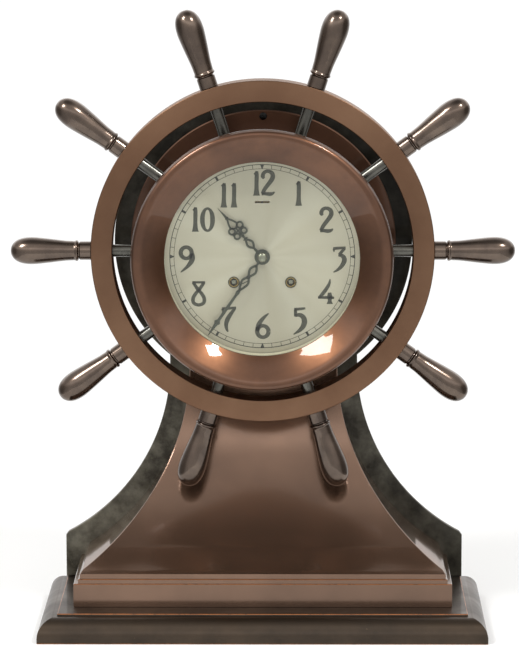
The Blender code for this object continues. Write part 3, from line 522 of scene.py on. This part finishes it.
drum = finished("case_drum_turned", turned(
    [(0, 70.4), (121.5, 70.4), (121.5, -62.3), (122.0, -62.7), (124.4, -62.7), (125.0, -62.1),
     (125.0, 67.1), (125.5, 67.7), (147.2, 67.7), (148.3, 68.8), (148.3, 73.8),
     (147.8, 74.4), (0, 74.4)], 160), [case_bronze], "stand_and_case", ["case_drum"], sharp=15)
drill_for_screws(drum)

for number, at in enumerate(SCREWS):
    screw = finished("flange_screw_head_%d" % (number + 1), turned(
        [(0, 64.9), (1.6, 65.0), (3.1, 65.6), (4.0, 66.6), (4.3, 67.4), (2.0, 67.4), (2.0, 81.7),
         (0, 81.7)], 32, at), [black_steel], "stand_and_case", ["flange_screw_%d" % (number + 1)])
    slot = bmesh.new()
    bmesh.ops.create_cube(slot, size=1)
    bmesh.ops.scale(slot, vec=(11 * mm, 2.2 * mm, 1.0 * mm), verts=slot.verts)
    bmesh.ops.rotate(slot, cent=(0, 0, 0), matrix=Matrix.Rotation(0.5, 3, 'Y'), verts=slot.verts)
    bmesh.ops.translate(slot, vec=at + Vector((0, 64.9 * mm, 0)), verts=slot.verts)
    cut(screw, slot)

# ==== Wheel rim ===================================================================================
# Flat ring of square section, faced on a lathe to a satin copper brown, with ten radial holes
# that the spokes are driven through.
rim_bronze = aged_bronze("satin_copper_bronze", "7e614c", "705441", "5a4331", 0.34, 0.42,
                         0.120, 0.003, 0.025, coat=0.1, relief=0.015, lathe=0.7)
rim = finished("wheel_rim_ring", turned(
    [(165.2, -14.3), (165.9, -15.0), (188.0, -15.0), (188.7, -14.3), (188.7, 14.3), (188.0, 15.0),
     (165.9, 15.0), (165.2, 14.3)], 200), [rim_bronze], "stand_and_case", ["wheel_rim"])
SPOKES = 10
SPOKE_TURNS = [2 * pi * (i + 0.5) / SPOKES for i in range(SPOKES)]
for turn in SPOKE_TURNS:
    along = Vector((sin(turn), 0, cos(turn)))
    cut(rim, drill(7.1 * mm, AXIS + along * 158 * mm, AXIS + along * 197 * mm, 24))

# ==== Spokes and handles ==========================================================================
# Each spoke is one turned bar: a plain rod to the case, then a stub, a groove, a bead and a
# handle that swells to a round end.  Toned nearly black-brown and glossy; the rod inside the wheel
# is given a duller grey-green colour as painted reflection of the dark, greenish things around it.
handle_bronze = aged_bronze("glossy_dark_bronze", "63554a", "4c4038", "6f4a33", 0.16, 0.26,
                            0.026, 0.0035, 0.05, coat=0.6, relief=0.01)
# Painted reflection: the rods' duller grey-green colour stands in for the dark, greenish things
# they reflect.
rod_painted_reflection_bronze = aged_bronze("rod_bronze_painted_dark_reflection", "5c5b55", "4a4944", "3a332b", 0.2, 0.32, 0.020,
                         0.003, 0.05, coat=0.3, relief=0.012)


def flowing(points, between=4):
    """A smooth line through the given points."""
    ends = [tuple(2 * a - b for a, b in zip(points[0], points[1])), *points,
            tuple(2 * a - b for a, b in zip(points[-1], points[-2]))]
    line = []
    for p, q, r, s in zip(ends, ends[1:], ends[2:], ends[3:]):
        for i in range(between):
            t = i / between
            line.append(tuple(0.5 * (2 * b + (c - a) * t + (2 * a - 5 * b + 4 * c - d) * t ** 2
                                     + (3 * b - a - 3 * c + d) * t ** 3)
                              for a, b, c, d in zip(p, q, r, s)))
    return line + [points[-1]]


# Radius and distance from the clock's axis, in millimetres.
ROD = [(0, 125.3), (6.8, 125.3), (6.8, 188.9)]
STUB = [(6.8, 189.0), (9.9, 189.0), (10.3, 189.4), (10.25, 200.9), (9.6, 201.4), (9.2, 202.0),
        (9.3, 202.6), (10.4, 203.0)]
BEAD = flowing([(10.9, 203.3), (11.5, 204.3), (11.45, 205.3), (10.9, 206.3), (10.6, 207.3)])
HANDLE = flowing([(10.6, 207.8), (10.75, 210), (11.0, 215.6), (11.45, 220), (12.1, 225.5),
                  (12.8, 231), (13.45, 236.5), (14.05, 242), (14.6, 247.5), (14.93, 252),
                  (14.93, 256.5), (14.6, 260.8), (13.7, 265.4), (12.1, 269.6), (10.0, 272.8),
                  (7.2, 275.3), (3.8, 277.0), (0, 277.5)], 3)
for number, turn in enumerate(SPOKE_TURNS):
    bm = bmesh.new()
    verts = [bm.verts.new((r * mm, 0, along * mm)) for r, along in ROD + STUB + BEAD + HANDLE]
    edges = [bm.edges.new(pair) for pair in zip(verts, verts[1:])]
    bmesh.ops.spin(bm, geom=verts + edges, cent=(0, 0, 0), axis=(0, 0, 1), angle=2 * pi,
                   steps=40, use_merge=True)
    bmesh.ops.remove_doubles(bm, verts=bm.verts, dist=1e-6)
    bmesh.ops.recalc_face_normals(bm, faces=bm.faces)
    for face in bm.faces:
        face.material_index = 1 if face.calc_center_median().z < ROD[-1][1] * mm else 0
    bmesh.ops.rotate(bm, cent=(0, 0, 0), matrix=Matrix.Rotation(turn, 3, 'Y'), verts=bm.verts)
    bmesh.ops.translate(bm, vec=AXIS, verts=bm.verts)
    finished("turned_spoke_%02d" % (number + 1), bm, [handle_bronze, rod_painted_reflection_bronze],
             "stand_and_case", ["spoke_handle_%02d" % (number + 1)])

# ==== Bezel, glass and sight ring =================================================================
# Spun bronze ring with a rolled outer edge and a broad inner slope, polished and lacquered.  The
# flat glass lies behind its lip, and a silvered ring closes the gap back to the dial.
bezel_bronze = aged_bronze("polished_bezel_bronze", "67452f", "513422", "3f281b", 0.28, 0.36,
                           0.080, 0.003, 0.02, coat=0.75, relief=0.004, lacquer=0.02, lathe=0.3)
FACE_LINE = flowing([(106.1, -69.2), (111.8, -73.6), (118.8, -78.5), (126.2, -83.1),
                     (130.8, -85.6), (134.8, -86.7), (137.8, -86.7), (140.0, -85.5),
                     (141.4, -83.0), (142.0, -79.4), (142.1, -73.6), (141.5, -64.6)])
BEZEL = [(105.8, -66.0), (105.8, -68.4)] + FACE_LINE
BEZEL += [(141.2, -63.0), (138.8, -63.0), (138.8, -79.0), (138.4, -82.6), (137.0, -84.0),
          (134.6, -84.0), (129.4, -82.0), (126.5, -80.4), (126.5, -63.0), (121.8, -63.0),
          (121.8, -77.4), (110.4, -69.6), (110.4, -66.0)]
finished("bezel_ring", turned(BEZEL, 224), [bezel_bronze], "bezel_door", ["bezel"], sharp=20)

window_glass = bpy.data.materials.new("flat_clock_glass")
window_glass.use_nodes = True
tree = window_glass.node_tree
tree.nodes.clear()
clear = add_node(tree, 'ShaderNodeBsdfTransparent', values={0: colour("fbfdfa")})
shine = add_node(tree, 'ShaderNodeBsdfGlossy', values={'Roughness': 0.03})
slant = add_node(tree, 'ShaderNodeLayerWeight', values={0: 0.5})
steep = add_node(tree, 'ShaderNodeMath', {'operation': 'POWER'}, {1: 5},
                 {0: slant.outputs['Facing']})
edge_on = add_node(tree, 'ShaderNodeMapRange', values={3: 0.04, 4: 0.95},
                   links={0: steep.outputs[0]})
pane = add_node(tree, 'ShaderNodeMixShader', links={0: edge_on.outputs[0], 1: clear.outputs[0],
                                                    2: shine.outputs[0]})
add_node(tree, 'ShaderNodeOutputMaterial', links={0: pane.outputs[0]})
finished("bezel_glass_disc", turned(
    [(0, -65.7), (109.3, -65.7), (109.8, -65.3), (109.8, -64.1), (109.3, -63.7), (0, -63.7)],
    160), [window_glass], "bezel_door", ["bezel_glass"])

silvered_brass = plain_finish("silvered_brass", "d5cdb8", "cbc3ae", 0.4, 0.5, 0.05, 0.006, 0.03)
finished("sight_ring_turned", turned(
    [(106.3, -63.1), (106.6, -63.4), (120.8, -63.4), (120.8, -61.9), (108.8, -61.9),
     (108.8, -48.8), (108.5, -48.5), (106.3, -48.5)], 160), [silvered_brass], "bezel_door",
    ["sight_ring"])

# ==== Hinge and catch =============================================================================
# Brass hinge behind the bezel's edge at nine o'clock with a steel pin, and a blackened spring
# strip at three o'clock that the bezel closes over.
sheet_brass = plain_finish("machined_brass", "c4a05a", "a98546", 0.2, 0.34, 1, 0.005, 0.04)
refinish(sheet_brass, "hinge_case_leaf", "hinge_bezel_leaf")
refinish(turned_steel, "hinge_pin")
refinish(black_steel, "bezel_catch")

# ==== Dial ========================================================================================
# Brass disc, silvered and brushed from the middle outwards, then lacquered.  The brushing throws
# soft fans of light, and broad paler fans are also painted into its colour as painted highlight;
# the figures and the minute track are olive-grey fired wax.
dial_silver = bpy.data.materials.new("brushed_silvered_dial")
dial_silver.use_nodes = True
tree = dial_silver.node_tree
shader = tree.nodes["Principled BSDF"]
place = add_node(tree, 'ShaderNodeTexCoord').outputs['Object']
centred = add_node(tree, 'ShaderNodeMapping', values={1: (0, 0, -AXIS.z)}, links={0: place})
parts = add_node(tree, 'ShaderNodeSeparateXYZ', links={0: centred.outputs[0]})
bearing = add_node(tree, 'ShaderNodeMath', {'operation': 'ARCTAN2'},
                   links={0: parts.outputs['X'], 1: parts.outputs['Z']})
spun = add_node(tree, 'ShaderNodeCombineXYZ', links={0: bearing.outputs[0]})
hairs = add_node(tree, 'ShaderNodeTexNoise', values={'Scale': 60, 'Detail': 6, 'Roughness': 0.7},
                 links={'Vector': spun.outputs[0]})
broad = add_node(tree, 'ShaderNodeTexNoise', values={'Scale': 2.2, 'Detail': 1},
                 links={'Vector': spun.outputs[0]})
streak = add_node(tree, 'ShaderNodeMapRange', values={1: 0.3, 2: 0.7, 3: 0.35, 4: 0.65},
                  links={0: hairs.outputs[0]})
face_tone = add_node(tree, 'ShaderNodeMixRGB', values={1: colour("bfb6a7"), 2: colour("b4ab9c")},
                     links={0: streak.outputs[0]})
# Painted highlight: broad paler sectors round the middle stand in for the sheen of the brushing.
painted_fan_highlight = add_node(tree, 'ShaderNodeMapRange', values={1: 0.35, 2: 0.65, 3: 0.0, 4: 0.5},
               links={0: broad.outputs[0]})
face_colour_with_painted_fans = add_node(tree, 'ShaderNodeMixRGB', values={2: colour("c9c3b8")},
                       links={0: painted_fan_highlight.outputs[0], 1: face_tone.outputs[0]})
brushed = add_node(tree, 'ShaderNodeBump', values={'Strength': 0.12, 'Distance': 0.0001},
                   links={'Height': hairs.outputs[0]})
around = add_node(tree, 'ShaderNodeTangent', {'direction_type': 'RADIAL', 'axis': 'Y'})
for key, socket in (('Base Color', face_colour_with_painted_fans.outputs[0]), ('Normal', brushed.outputs[0]),
                    ('Tangent', around.outputs[0])):
    tree.links.new(socket, shader.inputs[key])
shader.inputs['Metallic'].default_value = 0.55
shader.inputs['Roughness'].default_value = 0.42
shader.inputs['Anisotropic'].default_value = 0.7
refinish(dial_silver, "dial_plate")

# The figures: each is drawn with a broad pen, as lines of centre points and half widths in
# millimetres, then placed by its own middle.
fired_wax = plain_finish("olive_wax_figures", "3b3a2f", "323127", 0.5, 0.65, 0, 0.0015, 0.1)
WAX_DEPTH = -45.98


def ring_line(x, z, half_x, half_z, side, top, count=20):
    """A closed pen line round an oval, thicker at the sides than at the top and bottom."""
    turns = [2 * pi * i / count for i in range(count + 1)]
    return [(x + half_x * cos(t), z + half_z * sin(t), top + (side - top) * cos(t) ** 2)
            for t in turns]


ONE = [flowing([(0.5, 13.4, 1.2), (0.3, 8, 1.8), (0.1, -3, 1.8), (0, -9, 2.2), (0, -13.3, 3.1)]),
       [(0.5, 13.2, 0.8), (-2.2, 9.6, 0.9)]]
FIGURES = {
    '1': ONE,
    '2': [flowing([(-2.2, 5.6, 0.9), (-3.7, 7.6, 1.8), (-3.1, 10.8, 1.6), (-0.6, 13.0, 1.5),
                   (2.8, 13.2, 1.5), (6.0, 11.4, 1.8), (7.1, 8.0, 2.0), (6.0, 4.4, 2.0),
                   (2.4, -0.6, 1.8), (-1.6, -6.0, 1.7), (-4.2, -11.2, 1.6)]),
          flowing([(-5.2, -11.4, 1.3), (-1.0, -11.2, 1.4), (3.2, -11.6, 1.7), (6.6, -11.0, 1.3),
                   (9.0, -9.2, 0.4)])],
    '3': [[(-5.0, 12.4, 1.2), (0, 12.9, 1.2), (8.5, 13.5, 0.9)],
          [(-4.6, 12.4, 0.9), (-4.0, 9.0, 0.5)],
          flowing([(7.6, 12.8, 1.1), (4.2, 9.0, 1.3), (1.5, 5.6, 1.2)]),
          flowing([(0.6, 5.4, 1.1), (4.6, 4.6, 1.7), (7.0, 1.6, 2.1), (6.7, -2.2, 2.1),
                   (4.0, -7.0, 1.7), (0, -10.8, 1.2), (-4.8, -13.6, 0.3)])],
    '4': [flowing([(5.8, 14.2, 0.3), (4.8, 9.0, 1.2), (1.4, 3.0, 1.6), (-3.2, -3.0, 1.5),
                   (-6.8, -6.4, 0.9)]),
          [(-7.4, -6.3, 0.8), (0, -6.0, 1.2), (6.0, -6.0, 1.2), (10.2, -6.4, 0.9)],
          flowing([(5.2, -0.6, 1.4), (5.4, -5.0, 2.3), (5.4, -9.6, 1.7), (5.4, -13.2, 3.0)])],
    '5': [[(-4.2, 13.4, 1.3), (2.0, 13.9, 1.2), (8.0, 14.6, 0.8)],
          [(-2.9, 13.6, 1.3), (-2.7, 10.0, 1.4), (-2.7, 5.6, 1.4)],
          flowing([(-3.2, 6.4, 1.1), (1.6, 7.3, 1.8), (5.6, 4.8, 2.2), (7.0, 0, 2.5),
                   (5.4, -5.4, 2.2), (1.4, -10.0, 1.5), (-5.0, -14.2, 0.3)])],
    '6': [flowing([(7.8, 14.8, 0.3), (4.4, 12.0, 1.1), (0.2, 7.6, 1.7), (-3.4, 2.0, 2.0),
                   (-4.8, -4.6, 1.9)]), ring_line(1.4, -5.2, 6.2, 6.4, 1.9, 1.6)],
    '7': [[(-6.4, 12.0, 1.4), (0, 12.6, 1.2), (8.8, 13.5, 0.9)],
          [(-6.0, 12.2, 0.9), (-5.6, 8.8, 0.5)],
          flowing([(8.0, 12.9, 1.0), (3.6, 7.4, 1.6), (-0.4, 0.8, 2.0), (-2.0, -4.6, 1.8),
                   (-1.6, -9.4, 1.3), (-0.2, -13.2, 0.6)])],
    '8': [[(-6.8, 13.4, 0.9), (7.2, 13.4, 0.9)],
          [(-5.9, 13.4, 1.2), (0.1, 4.4, 1.6)], [(6.3, 13.4, 1.2), (0.1, 4.4, 1.6)],
          flowing([(0.1, 4.8, 1.3), (3.6, 0.6, 1.5), (6.2, -4.4, 1.6), (5.4, -9.4, 1.5),
                   (0.1, -11.6, 1.4), (-5.2, -9.4, 1.5), (-6.0, -4.4, 1.6), (-3.4, 0.6, 1.5),
                   (0.1, 4.8, 1.3)])],
    '9': [ring_line(-0.4, 6.4, 6.0, 6.2, 1.9, 1.6),
          flowing([(5.7, 6.2, 1.9), (6.5, 0.6, 2.2), (4.4, -4.2, 2.1), (0.4, -9.2, 1.4),
                   (-3.4, -12.4, 0.9), (-6.6, -15.0, 0.25)])],
    '0': [ring_line(0, 0, 5.6, 12.2, 2.1, 1.0, 28)],
}
# The figures of each hour with their shifts to the right and up, then the middle of each hour's
# figures from the middle of the dial.
HOURS = {12: [('1', -7.1, 1.0), ('2', 3.6, 1.0)], 1: [('1', 1.3, 1.4)], 2: [('2', 0, 0)],
         3: [('3', 0, 0)], 4: [('4', 0, 0)], 5: [('5', 0, 0)], 6: [('6', 0, 0)], 7: [('7', 0, 0)],
         8: [('8', 0, 0)], 9: [('9', 0, 0)], 10: [('1', -8.1, 1.5), ('0', 5.2, 1.4)],
         11: [('1', -4.5, 0.2), ('1', 6.5, 0.2)]}
MIDDLES = {12: (0.9, 79), 1: (38.2, 67.5), 2: (67.9, 39.6), 3: (82.1, -3.7), 4: (68, -39),
           5: (38.9, -71.6), 6: (-0.9, -77.4), 7: (-37.5, -69.7), 8: (-69.5, -41.7),
           9: (-82.3, -2.3), 10: (-64.6, 39.1), 11: (-37.1, 66.8)}


def pen_line(bm, line, x, z, y):
    """Draws one line of the pen as a flat strip on the dial."""
    rows = []
    for i, (px, pz, half) in enumerate(line):
        before, after = line[max(i - 1, 0)], line[min(i + 1, len(line) - 1)]
        way = Vector((after[0] - before[0], after[1] - before[1])).normalized()
        rows.append([Vector((x + px - way.y * side * half, y, z + pz + way.x * side * half)) * mm
                     + AXIS for side in (1, -1)])
    edge = bm.edges.new([bm.verts.new(point) for point in rows[0]])
    for row in rows[1:]:
        grown = bmesh.ops.extrude_edge_only(bm, edges=[edge])['geom']
        edge = next(item for item in grown if isinstance(item, bmesh.types.BMEdge)
                    and not any(v.co == o.co for v in item.verts for o in item.verts if v != o)
                    and len(item.link_faces) == 1)
        ends = sorted(edge.verts, key=lambda v: (v.co - row[0]).length - (v.co - row[1]).length)
        ends[0].co, ends[1].co = row


def thickened(bm, depth):
    """Gives flat strips a thickness towards the viewer."""
    grown = bmesh.ops.extrude_face_region(bm, geom=bm.faces[:])['geom']
    bmesh.ops.translate(bm, vec=(0, -depth * mm, 0),
                        verts=[v for v in grown if isinstance(v, bmesh.types.BMVert)])
    bmesh.ops.recalc_face_normals(bm, faces=bm.faces)


figures = bmesh.new()
for hour, digits in HOURS.items():
    for digit, dx, dz in digits:
        for line in FIGURES[digit]:
            broad = [(px, pz, half * 1.12 + 0.25) for px, pz, half in line]
            pen_line(figures, broad, MIDDLES[hour][0] + dx, MIDDLES[hour][1] + dz, WAX_DEPTH)
thickened(figures, 0.12)
finished("dial_figures", figures, [fired_wax], "stand_and_case", [])

# The railway track: two fine rings, a bar for every minute, a block every five minutes and a
# pointer at the quarters.
ink = plain_finish("black_wax_track", "1d1c17", "181712", 0.5, 0.65, 0, 0.0015, 0.1)
track = bmesh.new()
for radius, half in ((96.0, 0.26), (100.6, 0.42)):
    pen_line(track, [(radius * sin(2 * pi * i / 180), radius * cos(2 * pi * i / 180), half)
                     for i in range(181)], 0, 0, WAX_DEPTH)
for minute in range(60):
    a = 2 * pi * minute / 60
    half = 1.25 if minute % 5 == 0 else 0.3
    low, high = (95.6, 101.0) if minute % 5 == 0 else (96.0, 100.6)
    widths = (2.4, 0.3) if minute % 15 == 0 else (half, half)
    pen_line(track, [(high * sin(a), high * cos(a), widths[0]),
                     (low * sin(a), low * cos(a), widths[1])], 0, 0, WAX_DEPTH)
thickened(track, 0.10)
finished("minute_track", track, [ink], "stand_and_case", [])

# ==== Winding holes and regulator =================================================================
# A turned brass bush lines each winding hole, with the steel square of the arbor inside it.  The
# tip of the copper regulator lever shows in the slot under the twelve.
bush_brass = plain_finish("bright_bush_brass", "b89a58", "94793f", 0.2, 0.34, 1, 0.003, 0.04)
tarnish = plain_finish("tarnished_bush_face", "3b382b", "2a281f", 0.35, 0.5, 0.6, 0.002, 0.06)
for name in ("grommet_left", "grommet_right"):
    low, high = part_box(name)
    middle = Vector(((low.x + high.x) / 2, AXIS.y, (low.z + high.z) / 2))
    bush = turned([(3.9, -45.4), (4.1, -46.3), (4.4, -46.8), (5.1, -46.9), (5.9, -46.9),
                   (6.3, -46.6), (6.3, -46.25), (4.9, -46.25), (4.9, -43.9), (3.9, -43.9)], 40,
                  middle)
    for face in bush.faces:
        from_middle = face.calc_center_median() - middle
        face.material_index = 1 if Vector((from_middle.x, from_middle.z)).length > 5.1 * mm else 0
    finished(name + "_turned", bush, [bush_brass, tarnish], "stand_and_case", [name])
lever_copper = plain_finish("copper_lever", "4a2219", "2f1711", 0.3, 0.45, 0.8, 0.003, 0.05)
refinish(lever_copper, "regulator_lever")

# ==== Hands =======================================================================================
# Pierced steel hands, saw-cut from thin sheet and blued dark grey.  The hour hand carries an open
# four-lobed head, the minute hand two long links; a polished steel nut holds them.
hand_steel = plain_finish("blued_grey_steel", "54564f", "44463f", 0.26, 0.4, 0.9, 0.002, 0.05)


def loop(start, end, half, pen, nose=0.5):
    """A closed pointed link between two distances along a hand."""
    widest = start + (end - start) * nose
    points = [(0, start, pen), (half * 0.75, (start + widest) / 2, pen), (half, widest, pen),
              (half * 0.6, (end + widest) / 2, pen), (0, end, pen)]
    left = [(-x, z, w) for x, z, w in reversed(points[:-1])]
    return flowing(points, 4) + flowing([points[-1]] + left, 4)[1:]


def rounded(x, z, radius, pen, count=18):
    """A closed round lobe."""
    turns = [2 * pi * i / count for i in range(count + 1)]
    return [(x + radius * cos(t), z + radius * sin(t), pen) for t in turns]


HOUR_HAND = [rounded(0, 0, 6.7, 1.8, 28), [(0, 8, 1.6), (0, 14.4, 1.2)],
             loop(13.6, 26.5, 3.4, 1.25), [(-2.9, 27.0, 0.7), (2.9, 27.0, 0.7)],
             [(0, 26, 1.3), (0, 35.5, 1.3)], [(-1.9, 31.4, 0.6), (1.9, 31.4, 0.6)],
             rounded(4.9, 35.0, 3.1, 1.1), rounded(-4.9, 35.0, 3.1, 1.1),
             rounded(5.6, 42.6, 3.3, 1.1), rounded(-5.6, 42.6, 3.3, 1.1),
             [(-8.2, 38.9, 0.8), (8.2, 38.9, 0.8)], [(0, 34, 0.9), (0, 43.0, 0.9)],
             loop(42.4, 57.0, 4.4, 1.05, 0.3), [(0, 56.4, 1.7), (0, 60.4, 1.1)],
             [(-2.2, 57.4, 0.6), (2.2, 57.4, 0.6)],
             [(0, 60.0, 1.3), (0, 66, 0.7), (0, 72.2, 0.15)]]
MINUTE_HAND = [rounded(0, 0, 5.0, 2.0, 28), [(0, 6.5, 1.5), (0, 12, 1.1)],
               loop(11.0, 26.0, 3.6, 1.3), [(-2.4, 26.4, 0.8), (2.4, 26.4, 0.8)],
               loop(26.4, 44.0, 3.7, 1.3, 0.42), [(-2.0, 30.0, 0.5), (2.6, 38.0, 0.5)],
               [(0, 43.2, 1.4), (0, 47.0, 2.3), (0, 52, 1.2)],
               [(0, 51.0, 1.5), (0, 75, 1.7), (0, 83.5, 1.5), (0, 86.5, 3.6), (0, 89.5, 1.9),
                (0, 98, 1.1), (0, 104.5, 0.25)]]


def sawn_hand(name, lines, front, back, turn, body, node):
    """A hand cut from sheet between two depths, turned clockwise from twelve."""
    bm = bmesh.new()
    for line in lines:
        pen_line(bm, line, 0, 0, back)
    bmesh.ops.rotate(bm, cent=AXIS, matrix=Matrix.Rotation(turn, 3, 'Y'), verts=bm.verts)
    thickened(bm, back - front)
    finished(name, bm, [hand_steel], body, [node])


sawn_hand("hour_hand_pierced", HOUR_HAND, -50.3, -49.5, radians(317.9), "hour_train",
          "hour_hand")
sawn_hand("minute_hand_pierced", MINUTE_HAND, -53.2, -52.4, radians(214.6), "minute_train",
          "minute_hand")
nut_steel = plain_finish("polished_nut_steel", "9b9a8d", "828175", 0.2, 0.3, 1, 0.003, 0.03)
finished("hand_nut_turned", turned(
    [(0, -56.9), (2.2, -56.75), (3.8, -56.3), (4.9, -55.5), (5.4, -54.5), (5.4, -53.9),
     (5.2, -53.7), (2.3, -53.7), (2.3, -55.9), (0, -55.9)], 40), [nut_steel], "minute_train",
    ["hand_nut"])

# ==== Movement ====================================================================================
# Brass plates, pillars, barrels and wheels with steel arbors, a brass bell behind the back plate
# and a steel hammer beside it.  All of it is out of sight inside the case.
bell_metal = plain_finish("polished_bell_metal", "cba863", "b08c4c", 0.12, 0.22, 1, 0.01, 0.02)
refinish(sheet_brass, "movement_front_plate", "movement_back_plate", "movement_pillar_1",
         "movement_pillar_2", "movement_pillar_3", "movement_pillar_4", "time_barrel",
         "strike_barrel", "second_wheel", "centre_wheel", "third_wheel", "escape_wheel",
         "balance_wheel", "balance_cock", "minute_wheel", "hour_wheel", "strike_pin_wheel",
         "strike_fly")
refinish(turned_steel, "pallet_fork", "strike_hammer", "bell_post")
refinish(nut_steel, "time_winding_arbor", "strike_winding_arbor")
refinish(bell_metal, "bell")
